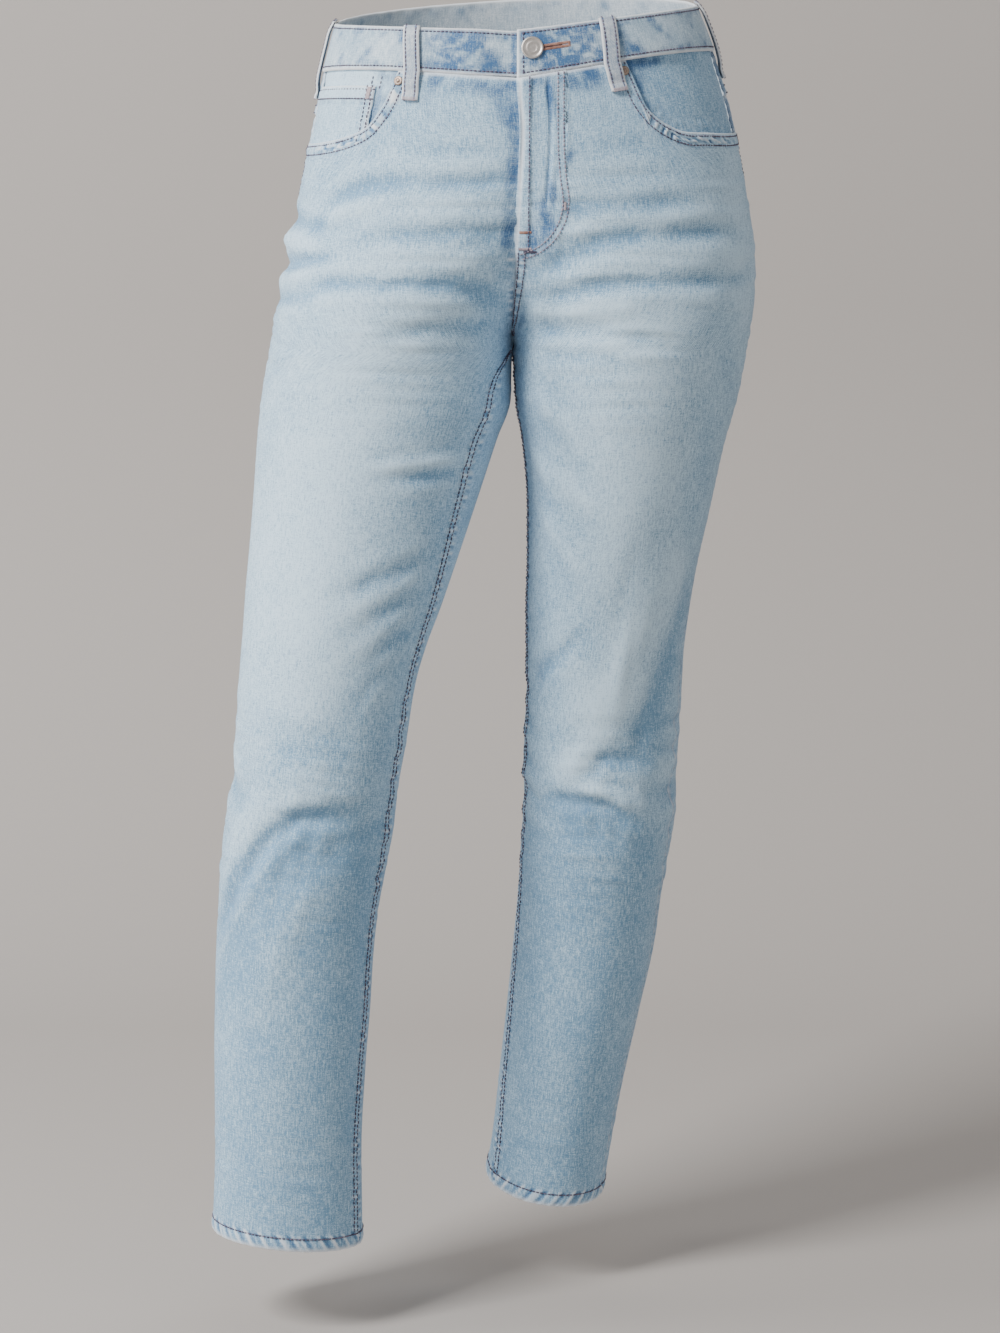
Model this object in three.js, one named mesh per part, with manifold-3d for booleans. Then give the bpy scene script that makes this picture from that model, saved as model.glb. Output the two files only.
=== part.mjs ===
// Mom jeans in their worn, hollow form. Millimetres, +Z up, the front faces -Y and +X is the wearer's
// left. The origin is the middle of the waistband's ring, at half its height.
import * as THREE from 'three';
import { mergeVertices } from 'three/addons/utils/BufferGeometryUtils.js';
import Module from 'manifold-3d';

// Cloth
const DENIM = 1.3;          // wall of a leg panel
const HEM_WALL = 3;         // the hem is three layers of it
const HEM_TALL = 12;
const BAND_WALL = 2.4;      // waistband, two layers
const LOOP_WALL = 1.7;
const TRIM = 0.15;          // half the gap between two pieces at a seam
const LAID = 0.5;           // clearance of a piece laid on or under a panel

// Waistband and closure
const BAND_TOP = 18.5;
const BAND_SEAM = -18.5;
const BUTTON_AT = [9.5, 2];
const BUTTON_R = 8.5;
const POST_R = 3;

// Where the two halves part
const CROTCH = -236;
const SOFT = 8;             // how gently they part above it
const CLEAR = 0.8;          // clearance of each thigh from the rise seam's line below it

// Each half's rings down to the crotch. Every column has a value for a row's height z: outer edge of the
// wearer's right and left half, middle of the section in y, half depth to the front and back, slopes of
// the row from side to side and front to back, the outseam's angle, and how far the row rises between
// the outseam and the centre front.
const HIPS = {
  z: [18.5, -18.5, -60, -100, -140, -170, -200, -236],
  right: [143, 153, 164.5, 171, 177, 181.5, 186, 191],
  left: [138, 152, 162.5, 173, 182.5, 188.5, 190, 186],
  gap: [0, 0, 0, 0, 0, 0, 0, 0],
  middle: [2, 2, 3, 4, 4, 3, 1, 0],
  front: [90, 96, 102, 107, 110, 110, 108, 104],
  back: [94, 102, 114, 126, 133, 134, 130, 122],
  roll: [0.05, 0.052, 0.047, 0.04, 0.03, 0.02, 0.01, 0],
  pitch: [0.128, 0.115, 0.09, 0.06, 0.035, 0.02, 0.008, 0],
  outseam: [0, 0, 0, 0, 0, 0, 0, -1],
  lift: [4, 8, 5, 1, 0, 0, 0, 0],
};
const RISE_X = { z: [18.5, -18.5, -60, -100, -140, -170, -200, -236], x: [0, 0, 2.5, 1, -1, -2.5, -4, -5] };

// Rings of the legs. gap is the inner edge's distance from the rise seam's line.
const RIGHT_LEG = {
  z: [-278, -311, -363, -403, -437, -467, -497, -547, -577, -608, -646, -676, -716, -757, -806, -876, -948],
  outer: [198, 201.5, 205, 208, 211, 213, 215.5, 219, 220.5, 226, 231, 233, 235.6, 237, 238, 238, 240.5],
  gap: [0.5, 12, 30, 44, 56, 67.5, 76, 84, 89.5, 93, 100, 105.5, 110, 112.5, 116.5, 120, 119.5],
  middle: [-3, -7, -14, -21, -28, -34, -39, -46, -48, -49, -50, -51, -52, -53, -55, -58, -60],
  front: [99, 95, 89, 85, 81, 78, 75.5, 73, 73, 70, 69, 68, 66, 64, 61.5, 58, 56],
  back: [110, 103, 95, 91, 87, 82.5, 79, 76, 75, 76, 75, 74, 72, 69, 64, 59, 56],
  roll: [-0.02, -0.04, -0.07, -0.09, -0.1, -0.11, -0.11, -0.11, -0.11, -0.11, -0.11, -0.1, -0.1, -0.09,
    -0.09, -0.09, -0.09],
  pitch: [-0.03, -0.05, -0.08, -0.085, -0.085, -0.08, -0.07, -0.06, -0.05, -0.04, -0.03, -0.03, -0.03,
    -0.03, -0.03, -0.03, -0.03],
  outseam: [-2, -3, -4, -5, -5, -6, -7, -8, -8, -8, -8, -8, -8, -9, -9, -10, -10],
  inseam: [148, 147, 150, 154, 157, 159, 160, 160, 160, 160, 161, 162, 163, 163, 162, 161, 161],
};
const LEFT_LEG = {
  z: [-279, -316, -369, -418, -451, -488, -522, -555, -587, -610, -657, -687, -726, -786, -856, -913, -943],
  outer: [178.5, 168.5, 157.5, 147.5, 142.7, 138.5, 137, 135.5, 133.5, 133.5, 127.5, 122.5, 117.5, 105,
    90.6, 81, 76.5],
  gap: [1.5, 7.5, 11.5, 11.5, 10.5, 10.5, 11, 9.5, 8.5, 9, 6.5, 5, 2, -3.6, -10.8, -17, -22],
  middle: [3, 8, 16, 24, 30, 35, 39, 43, 45, 46, 52, 56, 60, 66, 74, 78, 80],
  front: [99, 94, 88, 82, 79, 76, 74, 73, 73, 72, 71, 70, 69, 69, 67, 65, 65],
  back: [106, 102, 95, 90, 86, 82, 80, 79, 77, 78, 77, 77, 76, 73, 69, 66, 66],
  roll: [0, -0.01, -0.03, -0.04, -0.04, -0.04, -0.04, -0.04, -0.05, -0.06, -0.08, -0.09, -0.11, -0.13,
    -0.14, -0.14, -0.14],
  pitch: [0.02, 0.04, 0.06, 0.07, 0.07, 0.07, 0.07, 0.07, 0.08, 0.09, 0.1, 0.1, 0.1, 0.09, 0.08, 0.08, 0.08],
  outseam: [3, 4, 5, 8, 11, 15, 18, 20, 21, 22, 20, 19, 18, 18, 20, 22, 24],
  inseam: [174, 174, 174, 174, 173, 172, 171, 170, 170, 170, 170, 169, 167, 164, 160, 156, 153],
};

// Large folds. A fold runs from one point (angle, z) to another on side -1 (wearer's right) or 1, bowed
// down by bow; width is its half width and depth how far it stands in (out where negative), in mm.
const FOLDS = [
  { side: -1, from: [8, -192], to: [70, -180], bow: 0, width: 9, depth: 2.6 },
  { side: -1, from: [70, -180], to: [146, -206], bow: -4, width: 8, depth: 2.4 },
  { side: -1, from: [2, -172], to: [40, -158], bow: 0, width: 9, depth: 3 },
  { side: -1, from: [30, -134], to: [112, -148], bow: 6, width: 11, depth: 2 },
  { side: -1, from: [50, -102], to: [100, -104], bow: 3, width: 12, depth: 1.4 },
  { side: -1, from: [0, -210], to: [34, -222], bow: 0, width: 9, depth: 2.6 },
  { side: -1, from: [146, -320], to: [104, -338], bow: 0, width: 10, depth: 2.4 },
  { side: -1, from: [156, -399], to: [112, -412], bow: 3, width: 11, depth: 2.8 },
  { side: -1, from: [150, -436], to: [104, -457], bow: 4, width: 12, depth: 3 },
  { side: -1, from: [150, -470], to: [106, -513], bow: 4, width: 12, depth: 2.8 },
  { side: -1, from: [124, -598], to: [82, -596], bow: -2, width: 9, depth: 4 },
  { side: -1, from: [82, -596], to: [26, -690], bow: -16, width: 11, depth: 4.5 },
  { side: -1, from: [16, -590], to: [50, -604], bow: 0, width: 9, depth: 2.5 },
  { side: -1, from: [60, -566], to: [130, -560], bow: 6, width: 14, depth: -2.2 },
  { side: -1, from: [-20, -196], to: [-150, -232], bow: 12, width: 12, depth: 3 },
  { side: -1, from: [-30, -236], to: [-160, -262], bow: 10, width: 12, depth: 3.4 },
  { side: -1, from: [-40, -282], to: [-150, -300], bow: 8, width: 12, depth: 2.4 },
  { side: -1, from: [-150, -556], to: [-30, -580], bow: 12, width: 12, depth: 4 },
  { side: -1, from: [-160, -600], to: [-40, -606], bow: 14, width: 12, depth: 4.5 },
  { side: -1, from: [-150, -650], to: [-50, -634], bow: 10, width: 13, depth: 3 },
  { side: -1, from: [-130, -860], to: [-40, -884], bow: 6, width: 14, depth: 2.5 },
  { side: 1, from: [128, -182], to: [69, -146], bow: -4, width: 9, depth: 2.6 },
  { side: 1, from: [133, -202], to: [92, -183], bow: -2, width: 8, depth: 2.2 },
  { side: 1, from: [86, -122], to: [60, -119], bow: 2, width: 11, depth: 1.5 },
  { side: 1, from: [146, -214], to: [116, -212], bow: 0, width: 6, depth: 1.4 },
  { side: 1, from: [130, -226], to: [60, -214], bow: 4, width: 14, depth: -1.4 },
  { side: 1, from: [135, -601], to: [84, -603], bow: 3, width: 10, depth: 3.6 },
  { side: 1, from: [112, -582], to: [70, -562], bow: 4, width: 9, depth: 3 },
  { side: 1, from: [125, -572], to: [90, -548], bow: 0, width: 9, depth: -2 },
  { side: 1, from: [4, -575], to: [60, -578], bow: 2, width: 9, depth: 3 },
  { side: 1, from: [6, -618], to: [64, -640], bow: 0, width: 12, depth: 2.4 },
  { side: 1, from: [172, -560], to: [130, -566], bow: 0, width: 10, depth: 2.6 },
  { side: 1, from: [172, -612], to: [140, -622], bow: 0, width: 12, depth: 2.4 },
  { side: 1, from: [-20, -190], to: [-150, -228], bow: 12, width: 12, depth: 3 },
  { side: 1, from: [-26, -228], to: [-160, -266], bow: 10, width: 12, depth: 3.4 },
  { side: 1, from: [-50, -290], to: [-150, -304], bow: 8, width: 12, depth: 2.2 },
  { side: 1, from: [-140, -560], to: [-30, -572], bow: 12, width: 12, depth: 4.2 },
  { side: 1, from: [-150, -604], to: [-40, -600], bow: 14, width: 12, depth: 4.4 },
  { side: 1, from: [-140, -648], to: [-60, -636], bow: 10, width: 13, depth: 3 },
  { side: 1, from: [-120, -850], to: [-50, -872], bow: 6, width: 14, depth: 2.4 },
];

// Pocket mouths: angle from the outseam and the depth of the front panel's cut edge there.
const MOUTHS = {
  right: {
    angle: [0, 10, 22, 32, 40, 46, 49, 51, 52, 52.5],
    z: [-75, -74, -72.5, -70, -66, -60, -50, -40, -28, -18.5],
  },
  left: {
    angle: [0, 8, 22, 35, 45, 51, 55, 57, 57.4, 57.6],
    z: [-80, -80, -79, -76.5, -74, -68, -60, -50, -36, -18.5],
  },
};

// Monotone curve through a table's points
function curve(xs, ys, x) {
  if (xs[0] > xs[xs.length - 1]) {
    xs = [...xs].reverse();
    ys = [...ys].reverse();
  }
  const last = xs.length - 1;
  const rise = (i) => (ys[i + 1] - ys[i]) / (xs[i + 1] - xs[i]);
  const slope = (i) => {
    if (i === 0) return rise(0);
    if (i === last) return rise(last - 1);
    const [a, b] = [rise(i - 1), rise(i)];
    if (a * b <= 0) return 0;
    const before = xs[i] - xs[i - 1];
    const after = xs[i + 1] - xs[i];
    const wa = 2 * after + before;
    const wb = after + 2 * before;
    return (wa + wb) / (wa / a + wb / b);
  };
  if (x <= xs[0]) return ys[0] + (x - xs[0]) * slope(0);
  if (x >= xs[last]) return ys[last] + (x - xs[last]) * slope(last);
  let i = 0;
  while (xs[i + 1] < x) i++;
  const h = xs[i + 1] - xs[i];
  const t = (x - xs[i]) / h;
  const keep = (1 + 2 * t) * (1 - t) ** 2 * ys[i] + t * t * (3 - 2 * t) * ys[i + 1];
  return keep + h * (t * (1 - t) ** 2 * slope(i) + t * t * (t - 1) * slope(i + 1));
}
const mix = (a, b, t) => a + (b - a) * t;
const steps = (from, to, count) => Array.from({ length: count + 1 }, (_, i) => mix(from, to, i / count));
const smooth = (from, to, x) => {
  const t = Math.min(1, Math.max(0, (x - from) / (to - from)));
  return t * t * (3 - 2 * t);
};
const degrees = 180 / Math.PI;

// One table for each side, from the waistband's top to the hem
function joined(side) {
  const leg = side < 0 ? RIGHT_LEG : LEFT_LEG;
  const table = { z: [...HIPS.z, ...leg.z], outer: [...(side < 0 ? HIPS.right : HIPS.left), ...leg.outer] };
  for (const column of ['gap', 'middle', 'front', 'back', 'roll', 'pitch', 'outseam']) {
    table[column] = [...HIPS[column], ...leg[column]];
  }
  const first = leg.inseam[0];
  table.lift = [...HIPS.lift, ...leg.z.map(() => 0)];
  table.inseamZ = [CROTCH, CROTCH - 10, CROTCH - 24, ...leg.z];
  table.inseam = [180, mix(180, first, 0.45), mix(180, first, 0.85), ...leg.inseam];
  return table;
}
const FORM = { '-1': joined(-1), 1: joined(1) };

// Share of a half's width that reaches past the rise seam's line: 1 at the waist, 0 at the crotch
const PART_Z = CROTCH - SOFT * Math.log(Math.expm1(CLEAR / SOFT));
const softened = (z) => SOFT * Math.log1p(Math.exp((z - PART_Z) / SOFT)) - CLEAR;
const overlap = (z) => (z >= BAND_SEAM ? 1 : softened(z) / softened(BAND_SEAM));

function ring(side, z) {
  const table = FORM[side];
  const read = (column) => curve(table.z, table[column], z);
  const above = z > CROTCH;
  const outer = read('outer');
  const inner = read('gap') - overlap(z) * outer;
  const centre = (outer + inner) / 2;
  const half = (outer - inner) / 2;
  const reach = Math.max(-1, Math.min(1, centre / half));
  return {
    z, above, centre, half,
    seam: curve(RISE_X.z, RISE_X.x, Math.max(z, CROTCH)),
    inseam: above ? Math.acos(-reach) * degrees : curve(table.inseamZ, table.inseam, z),
    middle: read('middle'), front: read('front'), back: read('back'),
    roll: read('roll'), pitch: read('pitch'), outseam: read('outseam'), lift: read('lift'),
  };
}

// Point of the smooth form at an angle (0 outseam, + to the front) of the ring at z
function formPoint(side, angle, z) {
  const r = ring(side, z);
  const c = Math.cos(angle / degrees);
  const s = Math.sin(angle / degrees);
  const x = r.seam + side * (r.centre + r.half * c);
  const y = r.middle - (s > 0 ? r.front : r.back) * s;
  const fromX = r.above ? 0 : r.seam + side * r.centre;
  const fromY = r.above ? 0 : r.middle;
  const rise = r.lift * Math.sin(2 * Math.min(90, Math.max(0, angle)) / degrees);
  return new THREE.Vector3(x, y, z + r.roll * (x - fromX) + r.pitch * (y - fromY) + rise);
}

function formNormal(side, angle, z) {
  const around = formPoint(side, angle + 0.5, z).sub(formPoint(side, angle - 0.5, z));
  const down = formPoint(side, angle, z - 1).sub(formPoint(side, angle, z + 1));
  return around.cross(down).multiplyScalar(side).normalize();
}

// Height of the cloth's folds at a point, in mm; angles are turned to mm round a leg about 105 mm across
function folded(side, angle, z) {
  let height = 0;
  for (const fold of FOLDS) {
    if (fold.side !== side) continue;
    const scale = z > -260 ? 2.3 : 1.35;
    const [a0, z0] = fold.from;
    const [a1, z1] = fold.to;
    const du = (a1 - a0) * scale;
    const dv = z1 - z0;
    const length = Math.hypot(du, dv);
    const u = ((angle - a0) * scale * du + (z - z0) * dv) / length;
    const t = u / length;
    if (t < -0.3 || t > 1.3) continue;
    const across = ((z - z0) * du - (angle - a0) * scale * dv) / length;
    const bowed = across + fold.bow * 4 * t * (1 - t) * Math.sign(du);
    const ends = smooth(-0.12, 0.22, t) * (1 - smooth(0.78, 1.12, t));
    height -= fold.depth * ends * Math.exp(-((bowed / fold.width) ** 2));
  }
  return height;
}

// Point of the worn cloth's outer face, moved out by a distance
function clothPoint(side, angle, z, out = 0) {
  const calm = smooth(-55, -95, z) * (1 - smooth(-905, -930, z));
  const height = out + calm * folded(side, angle, z);
  return formPoint(side, angle, z).addScaledVector(formNormal(side, angle, z), height);
}

// Closed wall between a grid of outer points and the grid of inner points behind it
function wall(outer, inner) {
  const rows = outer.length;
  const columns = outer[0].length;
  const positions = [...outer, ...inner].flatMap((row) => row.flatMap((p) => [p.x, p.y, p.z]));
  const layer = rows * columns;
  const triangles = [];
  const quad = (a, b, c, d) => triangles.push(a, b, c, a, c, d);
  for (let i = 0; i < rows - 1; i++) {
    for (let j = 0; j < columns - 1; j++) {
      const a = i * columns + j;
      quad(a, a + columns, a + columns + 1, a + 1);
      quad(layer + a, layer + a + 1, layer + a + columns + 1, layer + a + columns);
    }
  }
  for (let i = 0; i < rows - 1; i++) {
    const left = i * columns;
    const right = left + columns - 1;
    quad(left, layer + left, layer + left + columns, left + columns);
    quad(right, right + columns, layer + right + columns, layer + right);
  }
  for (let j = 0; j < columns - 1; j++) {
    const bottom = (rows - 1) * columns + j;
    quad(j, j + 1, layer + j + 1, layer + j);
    quad(bottom, layer + bottom, layer + bottom + 1, bottom + 1);
  }
  const geometry = new THREE.BufferGeometry();
  geometry.setAttribute('position', new THREE.Float32BufferAttribute(positions, 3));
  geometry.setIndex(triangles);
  return facingOut(geometry);
}

function facingOut(geometry) {
  const p = geometry.attributes.position;
  const index = geometry.index.array;
  const corner = (i) => new THREE.Vector3().fromBufferAttribute(p, index[i]);
  let volume = 0;
  for (let i = 0; i < index.length; i += 3) volume += corner(i).dot(corner(i + 1).cross(corner(i + 2)));
  if (volume < 0) {
    for (let i = 0; i < index.length; i += 3) [index[i + 1], index[i + 2]] = [index[i + 2], index[i + 1]];
  }
  geometry.computeVertexNormals();
  return geometry;
}

// Wall laid along the form: rows and columns of [angle, z, out, thickness] on one side
function piece(side, grid) {
  const outer = grid.map((row) => row.map(([a, z, out]) => clothPoint(side, a, z, out)));
  const inner = grid.map((row) => row.map(([a, z, out, thick]) => clothPoint(side, a, z, out - thick)));
  return wall(outer, inner);
}

const group = new THREE.Group();
function add(name, geometry, color, roughness = 0.9, metalness = 0) {
  const material = new THREE.MeshStandardMaterial({ color, roughness, metalness, name });
  const mesh = new THREE.Mesh(geometry, material);
  mesh.name = name;
  group.add(mesh);
}
const WASHED = 0xb2cddc;
const BLUE = 0x8fb3cc;
const POCKETING = 0xe9e6de;
const SILVER = 0x9a9892;

// Angle at a seam, trimmed back by half a seam's gap
function trimmed(side, angle, z, inwards) {
  const here = formPoint(side, angle, z);
  const perDegree = here.distanceTo(formPoint(side, angle - Math.sign(inwards), z));
  return angle - inwards * TRIM / perDegree;
}

// Rows of a leg panel, closer at the crotch, the knee and the hem
const PANEL_ROWS = [
  ...steps(-96, -222, 9), -230, -235.7, -242, -252, ...steps(-268, -528, 12),
  ...steps(-548, -652, 8), ...steps(-684, -900, 6), -926,
];
const HEM = { '-1': -948, 1: -943 };
const hemFold = (side) => [HEM[side] + HEM_TALL + 1.5, HEM[side] + HEM_TALL, HEM[side]];
const panelWall = (side, z) => mix(HEM_WALL, DENIM, smooth(HEM[side] + HEM_TALL, HEM[side] + HEM_TALL + 1.5, z));

// Fronts: from the waist seam and the pocket mouth down to the hem
const FRONT_COLUMNS = [0, 0.09, 0.18, 0.27, 0.34, 0.395, 0.43, 0.5, 0.59, 0.68, 0.77, 0.86, 0.935, 1];
for (const [name, side, mouth] of [['front_right', -1, MOUTHS.right], ['front_left', 1, MOUTHS.left]]) {
  const end = mouth.angle[mouth.angle.length - 1];
  const top = (angle) => (angle >= end ? BAND_SEAM : curve(mouth.angle, mouth.z, angle));
  const zs = [0, 0.3, 0.6, 0.85].map((t) => ({ t })).concat([...PANEL_ROWS, ...hemFold(side)].map((z) => ({ z })));
  add(name, piece(side, zs.map(({ t, z }) => FRONT_COLUMNS.map((u, j) => {
    const atWaist = mix(0, ring(side, BAND_SEAM).inseam, u);
    const height = z ?? mix(top(atWaist) - TRIM, PANEL_ROWS[0], t);
    const r = ring(side, height);
    let angle = mix(r.outseam, r.inseam, u);
    if (j === 0) angle = trimmed(side, angle, height, -1);
    if (j === FRONT_COLUMNS.length - 1) angle = trimmed(side, angle, height, 1);
    return [angle, height, 0, panelWall(side, height)];
  }))), WASHED);
}

// Backs and yokes. The yoke seam drops from the side to the centre of the back.
const YOKE_SIDE = 34;
const YOKE_CENTRE = 66;
const BACK_COLUMNS = [0, 0.08, 0.17, 0.27, 0.37, 0.47, 0.57, 0.67, 0.77, 0.86, 0.93, 1];
const yokeSeam = (u) => BAND_SEAM - mix(YOKE_SIDE, YOKE_CENTRE, u);
const backAngle = (side, z, u) => {
  const r = ring(side, z);
  const end = r.above ? -r.inseam : r.inseam - 360;
  const angle = mix(r.outseam, end, u);
  if (u === 0) return trimmed(side, angle, z, 1);
  return u === 1 ? trimmed(side, angle, z, -1) : angle;
};
for (const [word, side] of [['right', -1], ['left', 1]]) {
  const rows = [0, 0.35, 0.7].map((t) => ({ t })).concat([...PANEL_ROWS, ...hemFold(side)].map((z) => ({ z })));
  add(`back_${word}`, piece(side, rows.map(({ t, z }) => BACK_COLUMNS.map((u) => {
    const height = z ?? mix(yokeSeam(u) - TRIM, PANEL_ROWS[0], t);
    return [backAngle(side, height, u), height, 0, panelWall(side, height)];
  }))), WASHED);
  add(`yoke_${word}`, piece(side, steps(0, 1, 5).map((t) => BACK_COLUMNS.map((u) => {
    const height = mix(BAND_SEAM - TRIM, yokeSeam(u) + TRIM, t);
    return [backAngle(side, height, u), height, 0, DENIM];
  }))), WASHED);
}

// Waistband: one strip round the waist from the end of the wearer's left over the closure, to its other
// end tucked behind the first. turn is degrees round the ring from the centre front.
const LAP_START = -0.8;
const LAP_TUCKED = 17;
const bandPlace = (turn) => {
  const t = ((turn % 360) + 360) % 360;
  return t < 180 ? [1, 90 - t] : [-1, t - 270];
};
const bandIn = (turn) => (BAND_WALL + 0.6) * smooth(346, 358, turn);
const bandGrid = (depth) => steps(BAND_TOP, BAND_SEAM, 4).map((z) => {
  return steps(LAP_START, 360 + LAP_TUCKED, 68).map((turn) => {
    const [side, angle] = bandPlace(turn);
    const height = turn > 346 ? mix(z, z * 0.96, smooth(346, 358, turn)) : z;
    return clothPoint(side, angle, Math.max(height, BAND_SEAM + TRIM), 0.5 - bandIn(turn) - depth);
  });
});
let band = wall(bandGrid(0), bandGrid(BAND_WALL));

// Buttonhole, cut through the outer end: a round eye for the button's post and a slit beside it. Both are
// set out from the middle of the slot, where x runs across the wearer and z out of the cloth.
const kernel = await Module();
kernel.setup();
function toSolid(geometry) {
  return new kernel.Manifold(new kernel.Mesh({
    numProp: 3,
    vertProperties: new Float32Array(geometry.attributes.position.array),
    triVerts: new Uint32Array(geometry.index.array),
  }));
}
function toGeometry(solid) {
  const mesh = solid.getMesh();
  const geometry = new THREE.BufferGeometry();
  geometry.setAttribute('position', new THREE.BufferAttribute(new Float32Array(mesh.vertProperties), 3));
  geometry.setIndex([...mesh.triVerts]);
  geometry.computeVertexNormals();
  return geometry;
}
const SLOT_SHIFT = 7;
const slotX = BUTTON_AT[0] + SLOT_SHIFT;
const slotAngle = Math.acos(slotX / ring(1, BUTTON_AT[1]).half) * degrees;
const out = formNormal(1, slotAngle, BUTTON_AT[1]);
const across = new THREE.Vector3().crossVectors(new THREE.Vector3(0, 0, 1), out).normalize();
const upright = new THREE.Vector3().crossVectors(out, across);
const closure = new THREE.Matrix4().makeBasis(across, upright, out);
closure.setPosition(clothPoint(1, slotAngle, BUTTON_AT[1], 0.5));
function keyhole() {
  const shape = new THREE.Shape();
  const slit = 0.9;
  const eye = POST_R + 0.5;
  const start = Math.asin(slit / eye);
  shape.absarc(-SLOT_SHIFT, 0, eye, start, 2 * Math.PI - start, false);
  shape.lineTo(10, -slit);
  shape.lineTo(10, slit);
  const cutter = new THREE.ExtrudeGeometry(shape, { depth: 4, bevelEnabled: false, curveSegments: 20 });
  cutter.translate(0, 0, -2.8).applyMatrix4(closure);
  cutter.deleteAttribute('normal');
  cutter.deleteAttribute('uv');
  return facingOut(mergeVertices(cutter, 1e-4));
}
add('waistband', toGeometry(toSolid(band).subtract(toSolid(keyhole()))), WASHED);

// Button: a dished head with a rim, and the post that holds it to the tucked end
const HEAD = [[0, -2.7], [POST_R, -2.7], [POST_R, 0.6], [BUTTON_R - 0.6, 0.6], [BUTTON_R, 1.1], [BUTTON_R, 1.9],
  [BUTTON_R - 0.4, 2.4], [BUTTON_R - 1.2, 2.5], [BUTTON_R - 1.9, 2.1], [3.5, 2.2], [0, 2.3]];
const turned = (profile, segments) => {
  const lathe = new THREE.LatheGeometry(profile.map(([r, z]) => new THREE.Vector2(r, z)), segments);
  lathe.rotateX(Math.PI / 2);
  lathe.deleteAttribute('normal');
  lathe.deleteAttribute('uv');
  return lathe;
};
const closed = (geometry) => {
  const merged = mergeVertices(geometry, 1e-4);
  const kept = [];
  const index = merged.index.array;
  for (let i = 0; i < index.length; i += 3) {
    const [a, b, c] = [index[i], index[i + 1], index[i + 2]];
    if (a !== b && b !== c && a !== c) kept.push(a, b, c);
  }
  merged.setIndex(kept);
  return facingOut(merged);
};
const button = turned(HEAD, 28).translate(-SLOT_SHIFT, 0, 0).applyMatrix4(closure);
add('button', closed(button), SILVER, 0.4, 0.9);

// Rivets at the upper corners of the pocket mouths
const RIVET_R = 3.6;
const RIVET = [[0, 0.3], [RIVET_R, 0.3], [RIVET_R, 0.8], [2.9, 1.3], [1.6, 1.35], [1.2, 1.7], [0, 1.8]];
for (const [name, side, angle] of [['rivet_right', -1, 53.9], ['rivet_left', 1, 59.5]]) {
  const z = -26;
  const frame = new THREE.Matrix4().makeTranslation(clothPoint(side, angle, z, 0.1));
  frame.multiply(new THREE.Matrix4().makeRotationFromQuaternion(
    new THREE.Quaternion().setFromUnitVectors(new THREE.Vector3(0, 0, 1), formNormal(side, angle, z))));
  add(name, closed(turned(RIVET, 18).applyMatrix4(frame)), SILVER, 0.4, 0.9);
}

// Belt loops: straps over the waistband, held at its top edge and below the waist seam
const LOOP_HALF = 6.5;
const LOOP_PATH = [
  { z: 18.4, under: 0.9 }, { z: 16, under: 1.3 }, { z: 12, under: 2.9 }, { z: 7, under: 3.4 },
  { z: -4, under: 3.3 }, { z: -14, under: 3.2 }, { z: -22, under: 2.9 }, { z: -28, under: 2.4 },
  { z: -32, under: 1.2 }, { z: -35, under: 0.55 }, { z: -39, under: 0.5 },
];
const LOOPS = [
  { name: 'front_right', side: -1, top: 55.2, bottom: 59.5 },
  { name: 'front_left', side: 1, top: 61.5, bottom: 63.5 },
  { name: 'side_right', side: -1, top: -4, bottom: -4 },
  { name: 'side_left', side: 1, top: -4, bottom: -4 },
  { name: 'back', side: 1, top: -90, bottom: -90 },
];
for (const loop of LOOPS) {
  const rows = LOOP_PATH.map(({ z, under }) => {
    const angle = mix(loop.top, loop.bottom, (18.4 - z) / 57.4);
    const mm = formPoint(loop.side, angle - 0.5, z).distanceTo(formPoint(loop.side, angle + 0.5, z));
    const thick = z < -33 ? LOOP_WALL + 0.9 : LOOP_WALL;
    return steps(-LOOP_HALF, LOOP_HALF, 4).map((d) => [angle + d / mm, z, under + thick, thick]);
  });
  add(`belt_loop_${loop.name}`, piece(loop.side, rows), WASHED);
}

// Front pockets: denim facing seen in the mouth, coin pocket on the wearer's right one, plain bag behind
const FACING_OUT = -3.4;
for (const [word, side, last] of [['right', -1, 60], ['left', 1, 66]]) {
  add(`pocket_facing_${word}`, piece(side, [-9, -18, -26, -46, -69, -92].map((z) => {
    return steps(-4, last, 10).map((a) => [a, z, FACING_OUT + (z > -20 ? 1.1 : 0), 1]);
  })), BLUE);
  const bottom = (a) => -196 + 30 * smooth(30, -4, a) + 26 * smooth(50, 76, a);
  add(`pocket_bag_${word}`, piece(side, steps(0, 1, 9).map((t) => {
    return steps(-4, 76, 9).map((a) => [a, mix(BAND_SEAM - 1, bottom(a), t), FACING_OUT - 1.5, 1]);
  })), POCKETING);
}
const COIN_TOP = -30;
add('coin_pocket', piece(-1, steps(0, 1, 5).map((t) => {
  return steps(2.5, 45 + 2 * t, 9).map((a) => [a, mix(COIN_TOP, -88, t), FACING_OUT + 1.5, 1]);
})), WASHED);

// Back pockets: a straight mouth, sides that draw in and a low point at the bottom
for (const [word, side] of [['right', -1], ['left', 1]]) {
  add(`back_pocket_${word}`, piece(side, steps(0, 1, 9).map((t) => steps(-1, 1, 8).map((u) => {
    const angle = -52 + u * mix(24, 20.5, t);
    const top = -88 + 2.5 * u;
    const bottom = -200 - 20 * (1 - Math.abs(u));
    return [angle, mix(top, bottom, t), LAID + 0.1 + 1.4, 1.4];
  }))), WASHED);
}

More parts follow.
